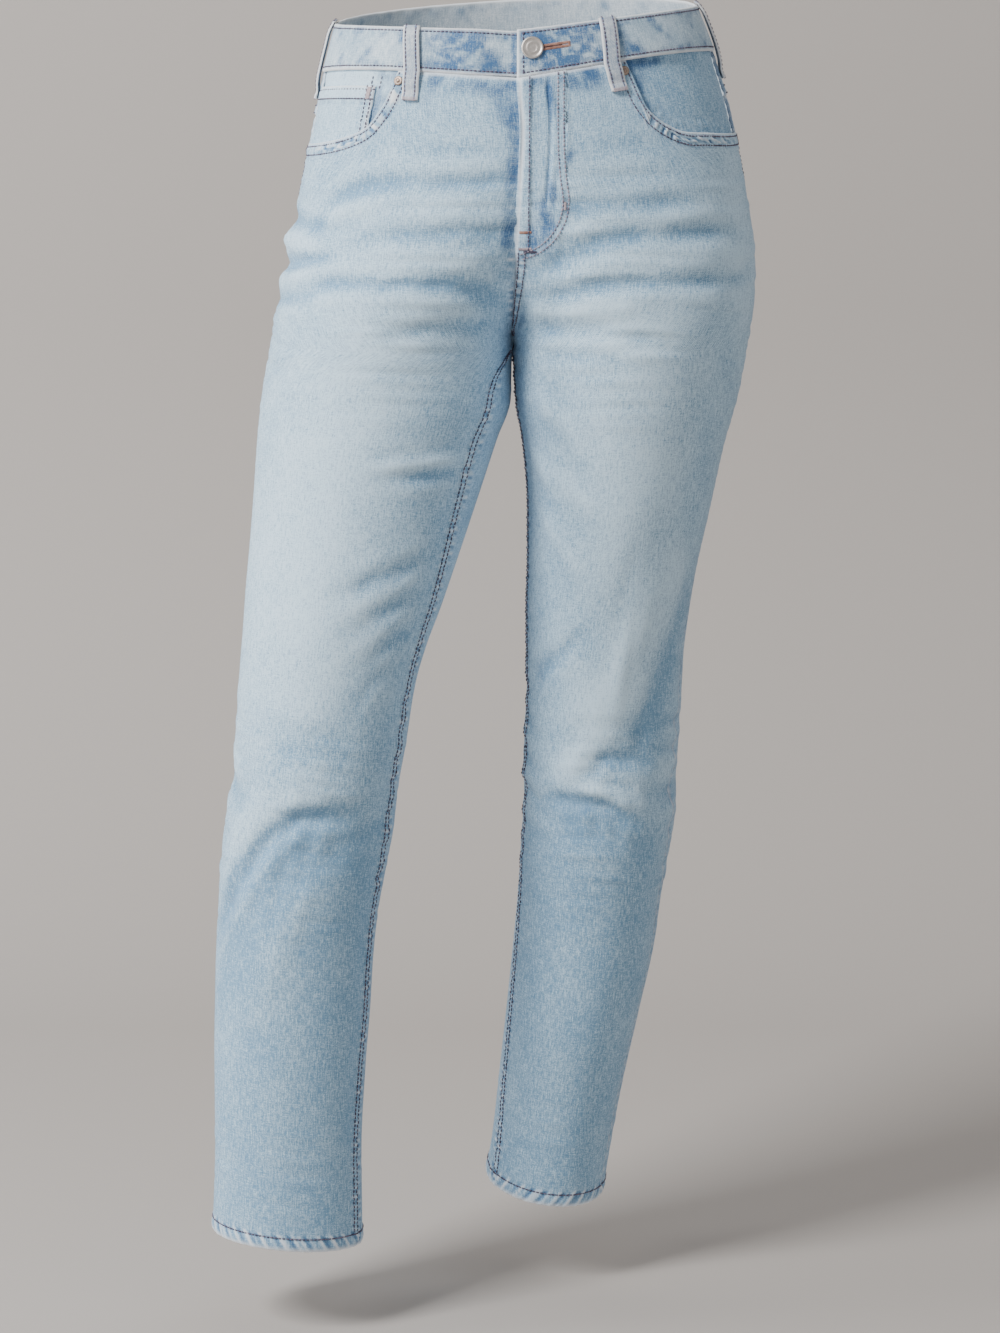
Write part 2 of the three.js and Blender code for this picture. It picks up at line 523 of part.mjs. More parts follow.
// Behind the fly: the zip's tapes with the closed chain as one strip, its slider, and the shield
const flyAngle = (z, x) => {
  const r = ring(1, z);
  return Math.acos((x - r.seam - r.centre) / r.half) * degrees;
};
const CHAIN_X = 9;
const ZIP = [{ x: -5, thick: 1 }, { x: 5.4, thick: 1 }, { x: 6, thick: 2.2 }, { x: 12, thick: 2.2 }, { x: 12.6, thick: 1 },
  { x: 23, thick: 1 }];
add('zip', piece(1, [-22, -33.4, -34, ...steps(-46, -158, 8)].map((z) => ZIP.map(({ x, thick }) => {
  return [flyAngle(z, x), z, -2.4, z > -33.7 ? 1 : thick];
}))), BLUE);
add('zip_slider', piece(1, [-23, -24.5, -31, -32.8].map((z, i) => {
  const half = [3, 4.2, 3.8, 2.6][i];
  return steps(-half, half, 3).map((d) => [flyAngle(z, CHAIN_X + d), z, -3.8, 1.8]);
})), SILVER, 0.4, 0.9);
add('fly_shield', piece(1, steps(-12, -166, 10).map((z) => steps(-9, 33, 5).map((x) => {
  return [flyAngle(z, x), z, -6.1, 1.6];
}))), BLUE);

export default group;
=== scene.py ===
# Mom jeans in light washed denim, worn and hollow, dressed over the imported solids.
# Blender's lengths are metres; the garment is set out in millimetres, as a pattern is.
import math
import bmesh
import bpy
import numpy as np
from mathutils import Matrix, Vector


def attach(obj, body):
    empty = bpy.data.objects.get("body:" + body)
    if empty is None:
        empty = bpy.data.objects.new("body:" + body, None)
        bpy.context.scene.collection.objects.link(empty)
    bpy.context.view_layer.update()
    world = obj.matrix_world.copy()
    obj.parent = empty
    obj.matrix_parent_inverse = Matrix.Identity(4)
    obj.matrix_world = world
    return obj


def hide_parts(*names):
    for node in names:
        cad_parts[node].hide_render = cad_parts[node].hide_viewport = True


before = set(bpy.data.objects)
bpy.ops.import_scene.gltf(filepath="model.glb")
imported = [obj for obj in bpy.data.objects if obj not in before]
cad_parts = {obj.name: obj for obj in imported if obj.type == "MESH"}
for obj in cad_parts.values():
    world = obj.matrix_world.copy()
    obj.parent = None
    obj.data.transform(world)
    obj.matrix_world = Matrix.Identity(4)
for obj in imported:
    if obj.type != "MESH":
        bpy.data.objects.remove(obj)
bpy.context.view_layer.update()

# Camera: a long lens 3.2 m in front of the waist, a little to the wearer's right and tipped 9 degrees
# down, so that the waistband meets the top of the picture and both hems show.
camera_data = bpy.data.cameras.new("camera")
camera_data.lens = 109.3
camera_data.sensor_width = 36
camera = bpy.data.objects.new("camera", camera_data)
camera.location = (-0.015, -3.2, 0.010)
camera.rotation_euler = (math.radians(81), 0, 0)
bpy.context.scene.collection.objects.link(camera)
bpy.context.scene.camera = camera

# Fronts: two panels of 1.3 mm washed cotton twill, cut from waist seam to hem with the pocket mouth
# scooped out of each. The rings below give the worn form that every other piece is laid on: right and
# left half widths, middle and half depths front to back, slopes of a row, and the seams' angles.
CROTCH = -236
BAND_SEAM = -18.5
SOFT = 8
CLEAR = 0.8
HIPS = {
    "z": [18.5, -18.5, -60, -100, -140, -170, -200, -236],
    "right": [143, 153, 164.5, 171, 177, 181.5, 186, 191],
    "left": [138, 152, 162.5, 173, 182.5, 188.5, 190, 186],
    "gap": [0] * 8,
    "middle": [2, 2, 3, 4, 4, 3, 1, 0],
    "front": [90, 96, 102, 107, 110, 110, 108, 104],
    "back": [94, 102, 114, 126, 133, 134, 130, 122],
    "roll": [0.05, 0.052, 0.047, 0.04, 0.03, 0.02, 0.01, 0],
    "pitch": [0.128, 0.115, 0.09, 0.06, 0.035, 0.02, 0.008, 0],
    "outseam": [0, 0, 0, 0, 0, 0, 0, -1],
    "lift": [4, 8, 5, 1, 0, 0, 0, 0],
}
RISE_X = [0, 0, 2.5, 1, -1, -2.5, -4, -5]
RIGHT_LEG = {
    "z": [-278, -311, -363, -403, -437, -467, -497, -547, -577, -608, -646, -676, -716, -757, -806, -876,
          -948],
    "outer": [198, 201.5, 205, 208, 211, 213, 215.5, 219, 220.5, 226, 231, 233, 235.6, 237, 238, 238, 240.5],
    "gap": [0.5, 12, 30, 44, 56, 67.5, 76, 84, 89.5, 93, 100, 105.5, 110, 112.5, 116.5, 120, 119.5],
    "middle": [-3, -7, -14, -21, -28, -34, -39, -46, -48, -49, -50, -51, -52, -53, -55, -58, -60],
    "front": [99, 95, 89, 85, 81, 78, 75.5, 73, 73, 70, 69, 68, 66, 64, 61.5, 58, 56],
    "back": [110, 103, 95, 91, 87, 82.5, 79, 76, 75, 76, 75, 74, 72, 69, 64, 59, 56],
    "roll": [-0.02, -0.04, -0.07, -0.09, -0.1, -0.11, -0.11, -0.11, -0.11, -0.11, -0.11, -0.1, -0.1, -0.09,
             -0.09, -0.09, -0.09],
    "pitch": [-0.03, -0.05, -0.08, -0.085, -0.085, -0.08, -0.07, -0.06, -0.05, -0.04, -0.03, -0.03, -0.03,
              -0.03, -0.03, -0.03, -0.03],
    "outseam": [-2, -3, -4, -5, -5, -6, -7, -8, -8, -8, -8, -8, -8, -9, -9, -10, -10],
    "inseam": [148, 147, 150, 154, 157, 159, 160, 160, 160, 160, 161, 162, 163, 163, 162, 161, 161],
}
LEFT_LEG = {
    "z": [-279, -316, -369, -418, -451, -488, -522, -555, -587, -610, -657, -687, -726, -786, -856, -913,
          -943],
    "outer": [178.5, 168.5, 157.5, 147.5, 142.7, 138.5, 137, 135.5, 133.5, 133.5, 127.5, 122.5, 117.5, 105,
              90.6, 81, 76.5],
    "gap": [1.5, 7.5, 11.5, 11.5, 10.5, 10.5, 11, 9.5, 8.5, 9, 6.5, 5, 2, -3.6, -10.8, -17, -22],
    "middle": [3, 8, 16, 24, 30, 35, 39, 43, 45, 46, 52, 56, 60, 66, 74, 78, 80],
    "front": [99, 94, 88, 82, 79, 76, 74, 73, 73, 72, 71, 70, 69, 69, 67, 65, 65],
    "back": [106, 102, 95, 90, 86, 82, 80, 79, 77, 78, 77, 77, 76, 73, 69, 66, 66],
    "roll": [0, -0.01, -0.03, -0.04, -0.04, -0.04, -0.04, -0.04, -0.05, -0.06, -0.08, -0.09, -0.11, -0.13,
             -0.14, -0.14, -0.14],
    "pitch": [0.02, 0.04, 0.06, 0.07, 0.07, 0.07, 0.07, 0.07, 0.08, 0.09, 0.1, 0.1, 0.1, 0.09, 0.08, 0.08,
              0.08],
    "outseam": [3, 4, 5, 8, 11, 15, 18, 20, 21, 22, 20, 19, 18, 18, 20, 22, 24],
    "inseam": [174, 174, 174, 174, 173, 172, 171, 170, 170, 170, 170, 169, 167, 164, 160, 156, 153],
}
HEM = {-1: -948, 1: -943}

# A fold is (side, points, width, depth). It runs through points (angle, z), the angles rising; width is
# its half width and depth how far it sinks, in mm, or stands out where negative. Side -1 is the
# wearer's right. An angle is 0 at the outseam, 90 at the front and -90 at the back.
FOLDS = [
    (-1, [(33, -130), (46, -108), (65, -100), (100, -102)], 7, 2.4),
    (-1, [(57, -146), (73, -142), (92, -142), (114, -146)], 7, 2.1),
    (-1, [(38, -186), (57, -182), (83, -182), (100, -184), (114, -188), (138, -204)], 6, 2.7),
    (-1, [(65, -76), (90, -74)], 6, 1.0),
    (-1, [(83, -224), (107, -220), (142, -218)], 6, 1.8),
    (-1, [(-34, -130), (4, -133), (43, -140)], 7, 1.6),
    (-1, [(-34, -153), (0, -151), (30, -147)], 8, -3.6),
    (-1, [(-36, -170), (2, -172), (47, -161)], 5, 3.0),
    (-1, [(-24, -184), (0, -185), (36, -178)], 6, -1.2),
    (-1, [(-34, -205), (2, -201), (49, -194)], 6, 1.8),
    (-1, [(91, -164), (116, -168)], 6, -1.3),
    (-1, [(26, -126), (60, -120)], 6, -1.2),
    (-1, [(92, -332), (138, -322)], 5, -1.4),
    (-1, [(105, -340), (141, -333)], 5, 1.8),
    (-1, [(90, -430), (114, -414), (137, -399)], 7, 2.0),
    (-1, [(102, -458), (118, -441), (138, -426)], 7, 1.8),
    (-1, [(114, -480), (130, -462), (146, -450)], 7, 1.8),
    (-1, [(113, -508), (122, -492), (142, -480)], 7, 1.5),
    (-1, [(74, -546), (100, -538)], 12, 1.6),
    (-1, [(18, -704), (26, -688), (48, -651), (67, -620), (85, -602), (121, -596)], 7, 4.2),
    (-1, [(44, -712), (62, -672), (80, -640), (98, -622), (130, -616)], 20, 3.2),
    (-1, [(18, -664), (38, -620), (62, -588)], 10, -2.0),
    (-1, [(126, -612), (146, -608)], 7, 1.8),
    (-1, [(91, -650), (110, -628)], 7, 1.8),
    (-1, [(2, -584), (34, -596)], 8, 2.4),
    (-1, [(-150, -232), (-85, -226), (-20, -196)], 11, 3.0),
    (-1, [(-160, -262), (-95, -262), (-30, -236)], 11, 3.4),
    (-1, [(-150, -300), (-95, -300), (-40, -282)], 11, 2.4),
    (-1, [(-140, -168), (-96, -176), (-52, -166)], 8, 1.4),
    (-1, [(-120, -412), (-88, -420), (-40, -398)], 12, 1.8),
    (-1, [(-150, -556), (-90, -580), (-30, -580)], 12, 4.0),
    (-1, [(-160, -600), (-100, -618), (-40, -606)], 12, 4.5),
    (-1, [(-150, -650), (-100, -653), (-50, -634)], 12, 3.0),
    (-1, [(-126, -704), (-80, -712), (-46, -696)], 12, 1.8),
    (-1, [(-130, -860), (-85, -880), (-40, -884)], 13, 2.5),
    (1, [(47, -128), (61, -124), (87, -124), (98, -128)], 7, 2.0),
    (1, [(25, -152), (50, -148), (78, -148), (96, -156), (118, -176)], 7, 2.7),
    (1, [(23, -186), (82, -184), (105, -188), (124, -198)], 6, 2.3),
    (1, [(85, -202), (110, -204), (139, -206)], 5, -1.3),
    (1, [(75, -230), (111, -222), (145, -224)], 6, 1.9),
    (1, [(91, -246), (111, -240), (143, -242)], 6, 1.0),
    (1, [(56, -80), (80, -76)], 7, 1.0),
    (1, [(58, -104), (85, -104)], 6, 1.0),
    (1, [(107, -322), (125, -294), (149, -273)], 8, -1.2),
    (1, [(131, -354), (161, -312)], 8, -1.2),
    (1, [(101, -363), (139, -332)], 8, -1.0),
    (1, [(104, -420), (151, -364)], 8, -1.0),
    (1, [(52, -417), (66, -453), (83, -496), (101, -536)], 15, -3.6),
    (1, [(26, -450), (40, -500), (62, -546), (92, -566)], 17, 3.4),
    (1, [(95, -552), (121, -575)], 10, -3.0),
    (1, [(108, -462), (146, -501)], 6, 1.5),
    (1, [(138, -488), (150, -512)], 8, 1.8),
    (1, [(56, -566), (87, -562), (104, -576)], 6, 2.4),
    (1, [(63, -612), (96, -598), (132, -600)], 6, 2.8),
    (1, [(58, -628), (94, -614), (128, -612)], 15, 3.2),
    (1, [(63, -602), (103, -586)], 6, -1.8),
    (1, [(130, -626), (146, -622)], 6, -1.3),
    (1, [(12, -540), (45, -536)], 6, 1.6),
    (1, [(14, -560), (48, -556)], 6, 1.8),
    (1, [(12, -598), (50, -592)], 7, 2.0),
    (1, [(148, -550), (169, -542)], 6, 1.4),
    (1, [(146, -580), (169, -572)], 6, 1.6),
    (1, [(148, -604), (169, -598)], 6, 1.4),
    (1, [(-150, -228), (-85, -221), (-20, -190)], 11, 3.0),
    (1, [(-160, -266), (-93, -257), (-26, -228)], 11, 3.4),
    (1, [(-150, -304), (-100, -305), (-50, -290)], 11, 2.2),
    (1, [(-136, -176), (-90, -182), (-48, -168)], 8, 1.4),
    (1, [(-130, -428), (-84, -436), (-44, -416)], 12, 1.8),
    (1, [(-140, -560), (-85, -578), (-30, -572)], 12, 4.2),
    (1, [(-150, -604), (-95, -616), (-40, -600)], 12, 4.4),
    (1, [(-140, -648), (-100, -652), (-60, -636)], 12, 3.0),
    (1, [(-124, -716), (-84, -722), (-50, -704)], 12, 1.8),
    (1, [(-120, -850), (-85, -867), (-50, -872)], 13, 2.4),
]


def curve(xs, ys, x):
    """Monotone curve through a table's points."""
    xs = np.asarray(xs, float)
    ys = np.asarray(ys, float)
    if xs[0] > xs[-1]:
        xs = xs[::-1]
        ys = ys[::-1]
    step = np.diff(xs)
    rise = np.diff(ys) / step
    slope = np.zeros(len(xs))
    slope[0] = rise[0]
    slope[-1] = rise[-1]
    for i in range(1, len(xs) - 1):
        if rise[i - 1] * rise[i] > 0:
            before = 2 * step[i] + step[i - 1]
            after = step[i] + 2 * step[i - 1]
            slope[i] = (before + after) / (before / rise[i - 1] + after / rise[i])
    i = np.clip(np.searchsorted(xs, x) - 1, 0, len(step) - 1)
    t = (x - xs[i]) / step[i]
    k = np.clip(t, 0, 1)
    value = (1 + 2 * k) * (1 - k) ** 2 * ys[i] + k * k * (3 - 2 * k) * ys[i + 1]
    value = value + step[i] * (k * (1 - k) ** 2 * slope[i] + k * k * (k - 1) * slope[i + 1])
    value = value + np.where(t < 0, t * step[i] * slope[i], 0)
    return value + np.where(t > 1, (t - 1) * step[i] * slope[i + 1], 0)


def ease(start, end, x):
    """Smooth step from 0 at the start to 1 at the end."""
    t = np.clip((x - start) / (end - start), 0, 1)
    return t * t * (3 - 2 * t)


def bell(x, width):
    """1 where x is 0, falling away on both sides over the width."""
    return np.exp(-((x / width) ** 2))


def join_tables(side):
    """The hips' rows and one leg's in one table; the inseam's angle eases into the leg under the crotch."""
    leg = RIGHT_LEG if side < 0 else LEFT_LEG
    table = {"z": HIPS["z"] + leg["z"]}
    table["outer"] = HIPS["right" if side < 0 else "left"] + leg["outer"]
    for column in ("gap", "middle", "front", "back", "roll", "pitch", "outseam"):
        table[column] = HIPS[column] + leg[column]
    table["lift"] = HIPS["lift"] + [0] * len(leg["z"])
    first = leg["inseam"][0]
    table["inseam_z"] = [CROTCH, CROTCH - 10, CROTCH - 24] + leg["z"]
    table["inseam"] = [180, 180 - 0.45 * (180 - first), 180 - 0.85 * (180 - first)] + leg["inseam"]
    return table


FORM = {-1: join_tables(-1), 1: join_tables(1)}
PART_Z = CROTCH - SOFT * math.log(math.expm1(CLEAR / SOFT))


def past_rise(z):
    """Share of a half's width that reaches past the rise seam: 1 at the waist, 0 at the crotch."""
    reach = SOFT * np.logaddexp(0, (z - PART_Z) / SOFT) - CLEAR
    whole = SOFT * np.logaddexp(0, (BAND_SEAM - PART_Z) / SOFT) - CLEAR
    return np.minimum(reach / whole, 1)


def ring(side, z):
    """Row values at z: the form's centre and half width, and the angles of both seams."""
    table = FORM[side]
    z = np.asarray(z, float)
    row = {key: curve(table["z"], table[key], z)
           for key in ("outer", "gap", "middle", "front", "back", "roll", "pitch", "outseam", "lift")}
    above = z > CROTCH
    inner = row["gap"] - past_rise(z) * row["outer"]
    row["centre"] = (row["outer"] + inner) / 2
    row["half"] = (row["outer"] - inner) / 2
    reach = np.clip(row["centre"] / row["half"], -1, 1)
    row["above"] = above
    row["seam"] = curve(HIPS["z"], RISE_X, np.maximum(z, CROTCH))
    leg_inseam = curve(table["inseam_z"], table["inseam"], z)
    row["inseam"] = np.where(above, np.degrees(np.arccos(-reach)), leg_inseam)
    return row


def back_end(row):
    """Angle of a back's seat seam, and of its inseam below the crotch."""
    return np.where(row["above"], -row["inseam"], row["inseam"] - 360)


def form_point(side, angle, z):
    """Point of the smooth form at an angle (0 outseam, + to the front) of the ring at z."""
    row = ring(side, z)
    c = np.cos(np.radians(angle))
    s = np.sin(np.radians(angle))
    x = row["seam"] + side * (row["centre"] + row["half"] * c)
    y = row["middle"] - np.where(s > 0, row["front"], row["back"]) * s
    from_x = np.where(row["above"], 0, row["seam"] + side * row["centre"])
    from_y = np.where(row["above"], 0, row["middle"])
    lift = row["lift"] * np.sin(2 * np.radians(np.clip(angle, 0, 90)))
    return np.stack([x, y, z + row["roll"] * (x - from_x) + row["pitch"] * (y - from_y) + lift], -1)


def form_normal(side, angle, z):
    """Outward direction of the smooth form."""
    around = form_point(side, angle + 0.5, z) - form_point(side, angle - 0.5, z)
    down = form_point(side, angle, z - 1.0) - form_point(side, angle, z + 1.0)
    out = side * np.cross(around, down)
    return out / np.linalg.norm(out, axis=-1, keepdims=True)


def mm_per_degree(side, angle, z):
    """Cloth to a degree of turn, at an angle of the ring at z."""
    row = ring(side, z)
    s = np.sin(np.radians(angle))
    depth = np.where(s > 0, row["front"], row["back"])
    return np.hypot(row["half"] * s, depth * np.cos(np.radians(angle))) * math.pi / 180


def seam_gaps(side, angle, z):
    """Distances in mm from a point to the outseam and to the rise or inseam."""
    row = ring(side, z)
    size = mm_per_degree(side, angle, z)
    front = angle >= row["outseam"]
    end = np.where(front, row["inseam"], back_end(row))
    return np.abs(angle - row["outseam"]) * size, np.abs(end - angle) * size, front


def wander(x, seed):
    """Smooth wandering line between about -1 and 1, with bumps some 6 units long."""
    total = 0
    for k in range(1, 6):
        total = total + np.sin(x * (0.55 + 0.37 * k) + 12.9898 * seed * k + 4.1 * k * k) / (1 + 0.25 * k)
    return total / 2.2


def big_folds(side, angle, z):
    """The table's folds; a trough has a soft lip on both sides, and fades out at its ends."""
    angle, z = np.broadcast_arrays(angle, z)
    height = np.zeros(angle.shape)
    for fold_side, spots, width, depth in FOLDS:
        first = spots[0][0]
        last = spots[-1][0]
        lows = [spot[1] for spot in spots]
        near = (angle > first - 25) & (angle < last + 25) & (z > min(lows) - 60) & (z < max(lows) + 60)
        if fold_side != side or not near.any():
            continue
        at = np.clip(angle[near], first, last)
        line, ahead = curve(*zip(*spots), np.stack([at, at + 0.5]))
        size = mm_per_degree(side, at, line)
        slope = (ahead - line) / (0.5 * size)
        away = np.maximum(first - angle[near], 0) + np.maximum(angle[near] - last, 0)
        across = (z[near] - line) / np.sqrt(1 + slope ** 2) / width
        inset = np.minimum(at - first, last - at) * size
        ends = bell(away * size, 1.3 * width) * (0.35 + 0.65 * ease(0, 2.5 * width, inset))
        swell = 1 + 0.35 * wander(at / 6.0, 1 + abs(line[0]) % 7)
        lips = 0.3 * bell(across - 2.1, 1) + 0.3 * bell(across + 2.1, 1)
        height[near] -= depth * swell * ends * (bell(across, 1) - lips)
    return height


def drag_lines(side, angle, z):
    """Shallow uneven creases that run across the hips, behind the knees and round the ankles."""
    u = angle * 1.9
    hips = ease(-70, -120, z) * (1 - ease(-250, -330, z))
    knees = ease(-500, -560, z) * (1 - ease(-640, -760, z))
    ankles = ease(-820, -870, z) * (1 - ease(-915, -935, z))
    tilt = 0.22 * np.sin(u / 60 + side) * 20
    lines = wander((z + tilt) / 3.4 + 0.9 * np.sin(u / 31), 3 + side)
    breaks = 0.5 + 0.5 * np.sin(u / 23 + wander(z / 9, 5 + side) * 2)
    return (0.85 * hips + 0.75 * knees + 0.5 * ankles) * lines * breaks


# Front pocket mouths: angles and heights of the scooped edge, from the outseam to the waist seam.
MOUTH = {
    -1: ([0, 10, 22, 32, 40, 46, 49, 51, 52, 52.5], [-75, -74, -72.5, -70, -66, -60, -50, -40, -28, -18.5]),
    1: ([0, 8, 22, 35, 45, 51, 55, 57, 57.4, 57.6], [-80, -80, -79, -76.5, -74, -68, -60, -50, -36, -18.5]),
}
MOUTH_DEGREE = 2.15
CREASE_X = 21


def mouth_gap(side, angle, z):
    """Distance in mm from a point of the front to its pocket mouth, and how far along the mouth that is."""
    angle, z = np.broadcast_arrays(angle, z)
    gap = np.full(angle.shape, 99.0)
    along = np.zeros(angle.shape)
    near = (z > -112) & (angle > -6) & (angle < 76)
    at = np.linspace(0, MOUTH[side][0][-1], 90)
    edge_z = curve(*MOUTH[side], at)
    way = np.concatenate([[0], np.cumsum(np.hypot(np.diff(at) * MOUTH_DEGREE, np.diff(edge_z)))])
    apart = np.hypot((angle[near][:, None] - at) * MOUTH_DEGREE, z[near][:, None] - edge_z)
    pick = apart.argmin(1)
    gap[near] = apart[np.arange(len(pick)), pick]
    along[near] = way[pick]
    return gap, along


def fly_crease(side, to_in, front, z):
    """The lap's fold line over the shield: 1 on it, fading out towards both ends."""
    reach = ease(-128, -100, z) * (1 - ease(-30, -20, z)) * (front & (side > 0))
    return reach * bell(to_in - CREASE_X, 1.3)


def pucker_waves(side, angle, z, to_out, to_in, front):
    """Gathers that sewing draws up: at the outseam, in the felled band, along the mouth."""
    outer = np.exp(-to_out / 6) * wander(z / 1.9, 7 + side + 2 * front)
    felled = bell(to_in - 4.8, 4.2) * wander(z / 1.25 + to_in / 9, 11 + side + 2 * front)
    gap, along = mouth_gap(side, angle, z)
    mouth = bell(gap - 5.4, 3.4) * wander(along / 1.05, 15 + side) * (0.3 + 0.7 * ease(18, 60, along))
    mouth = mouth * (1 - 0.5 * ease(125, 150, along))
    return outer, felled, mouth, gap


def seam_relief(side, angle, z):
    """Valleys at the seams, the felled ridges beside them, and their puckers; in mm."""
    to_out, to_in, front = seam_gaps(side, angle, z)
    row = ring(side, z)
    inseam = ~row["above"]
    dip = -1.5 * bell(to_out, 1.7)
    dip = dip - np.where(inseam | ~front, 0.9, 0.25) * bell(to_in, 1.2)
    ridge = 0.9 * ease(0.6, 1.6, to_in) * (1 - ease(7.4, 9.2, to_in))
    plain_rise = front & (side < 0) & row["above"]
    ridge = ridge * np.where(plain_rise, 0, 1) * np.where(front, 1, 0.35)
    outer, felled, mouth, gap = pucker_waves(side, angle, z, to_out, to_in, front)
    strength = np.where(inseam, 0.7, np.where(z < -160, 1.0, 0.25)) * np.where(plain_rise, 0.2, 1)
    pucker = 0.62 * outer + strength * felled
    rolled = 0.55 * (1 - ease(8.4, 10.4, gap)) - 0.45 * bell(gap - 2.4, 0.9) - 0.5 * bell(gap - 8.8, 0.9)
    rolled = np.where(front, rolled + 1.25 * mouth, 0)
    knee = ease(-470, -530, z) * (1 - ease(-640, -700, z))
    pucker = pucker + knee * 2.6 * np.exp(-to_out / 9) * wander(z / 7.5, 23 + side)
    pucker = pucker + knee * np.where(inseam, 2.0, 0) * np.exp(-to_in / 8) * wander(z / 6.0, 27 + side)
    fly = front & (side > 0)
    lap = 1.1 * np.where(fly, ease(-172, -160, z), 0) * (1 - ease(33, 37, to_in))
    lap = lap - 1.5 * fly_crease(side, to_in, front, z) + 0.5 * fly_crease(side, to_in - 3.6, front, z)
    return dip + ridge + pucker + lap + rolled


def cloth(side, angle, z, out=0.0):
    """Point of the worn cloth's outer face, moved out by a distance."""
    calm = ease(-55, -95, z) * (1 - ease(-905, -930, z))
    folds = big_folds(side, angle, z) + drag_lines(side, angle, z)
    height = out + calm * folds + seam_relief(side, angle, z)
    return form_point(side, angle, z) + form_normal(side, angle, z) * height[..., None]


def put_in_place(name, mesh, node_name=None):
    """A finished mesh as a piece of the one rigid body, in place of its solid where it has one."""
    piece = bpy.data.objects.new(name, mesh)
    bpy.context.scene.collection.objects.link(piece)
    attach(piece, "root")
    if node_name:
        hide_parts(node_name)
    return piece


def sew(name, outer, inner, place, marks, materials, node_name):
    """Closed shell between two grids of points in mm; place is each point's spot on the flat cloth."""
    rows, columns = outer.shape[:2]
    count = rows * columns
    points = np.concatenate([outer.reshape(-1, 3), inner.reshape(-1, 3)]) * 0.001
    index = np.arange(count).reshape(rows, columns)
    a = index[:-1, :-1].ravel()
    b = index[1:, :-1].ravel()
    c = index[1:, 1:].ravel()
    d = index[:-1, 1:].ravel()
    face = np.stack([a, b, c, d], 1)
    back = np.stack([a, d, c, b], 1) + count
    rim = []
    for line, flip in ((index[0], False), (index[-1], True), (index[:, 0], True), (index[:, -1], False)):
        first = line[:-1]
        second = line[1:]
        quads = np.stack([first, second, second + count, first + count], 1)
        rim.append(quads[:, ::-1] if flip else quads)
    faces = np.concatenate([face, back] + rim)
    p = points[faces]
    volume = np.einsum("ij,ij->", p[:, 0], np.cross(p[:, 1], p[:, 2]) + np.cross(p[:, 2], p[:, 3]))
    if volume < 0:
        faces = faces[:, ::-1]
    mesh = bpy.data.meshes.new(name)
    mesh.from_pydata(points.tolist(), [], faces.tolist())
    mesh.polygons.foreach_set("use_smooth", np.ones(len(faces), bool))
    for material in materials:
        mesh.materials.append(material)
    kinds = np.zeros(len(faces), np.int32)
    if len(materials) > 1:
        kinds[len(face):len(face) + len(back)] = 1
    mesh.polygons.foreach_set("material_index", kinds)
    flat = np.concatenate([place.reshape(-1, 2)] * 2)
    layer = mesh.uv_layers.new(name="flat_cloth")
    loops = np.empty(len(mesh.loops), np.int32)
    mesh.loops.foreach_get("vertex_index", loops)
    layer.data.foreach_set("uv", (flat[loops] * 0.001).ravel())
    for key, values in marks.items():
        field = mesh.attributes.new(key, "FLOAT", "POINT")
        values = np.broadcast_to(values, (rows, columns)).ravel().astype(np.float32)
        field.data.foreach_set("value", np.concatenate([values, values]))
    piece = put_in_place(name, mesh, node_name)


# How the wash lies: patches (side, angle, z, wide, tall, amount). Patches of the first table are paler
# with wear, except its negative ones, which are painted shade on the knees, and one painted highlight on
# the left knee. Those of the second are bluer: near the fly and below the waistband they kept more of
# their blue, as cloth does beside thick seams; the rest are painted shade in fold troughs and at the left
# inseam.
WEAR_AND_LIGHT_PATCHES = [
    (-1, 74, -330, 52, 150, 0.55), (-1, 60, -150, 60, 60, 0.05), (-1, 84, -480, 46, 60, 0.4),
    # The two negative patches on this line are painted shade on the right knee, above and below its crease
    # arc.
    (-1, 96, -560, 50, 44, -0.18), (-1, 112, -650, 60, 50, -0.15), (-1, 24, -420, 50, 170, 0.4),
    (1, 84, -330, 50, 150, 0.55), (1, 60, -160, 60, 60, 0.15), (1, 88, -520, 34, 46, 0.35),
    # Here (1, 104, -566) is a painted highlight on the left knee, and the negative patch is painted shade
    # below its crease.
    (1, 104, -566, 22, 14, 0.45), (1, 108, -650, 50, 46, -0.15), (1, 26, -150, 40, 80, 0.5),
    (-1, 100, -230, 40, 30, 0.3), (1, 100, -222, 46, 16, 0.4), (-1, 84, -118, 26, 50, 0.15),
    (-1, -62, -150, 60, 60, 0.35), (1, -62, -150, 60, 60, 0.35), (-1, -90, -640, 50, 160, 0.2),
    (1, -90, -640, 50, 160, 0.2),
]
BLUE_AND_SHADE_PATCHES = [
    (-1, 66, -26, 9, 22, 0.7), (1, 70, -26, 9, 16, 0.95), (1, 82, -24, 24, 9, 0.6),
    # Painted shade on this line: the two hip fold troughs, and the arm of the right knee's arc.
    (-1, 80, -100, 60, 12, 0.2), (1, 70, -118, 50, 12, 0.22), (-1, 30, -680, 16, 20, 0.2),
    # (1, 110, -606) on this line is painted shade under the left knee crease.
    (1, 72, -60, 8, 10, 0.35), (1, 110, -606, 50, 12, 0.16),
    # Painted shade on this line: below the left knee crease, and in a fold by the left inseam.
    (1, 60, -640, 50, 50, 0.08), (1, 148, -500, 10, 18, 0.4),
]
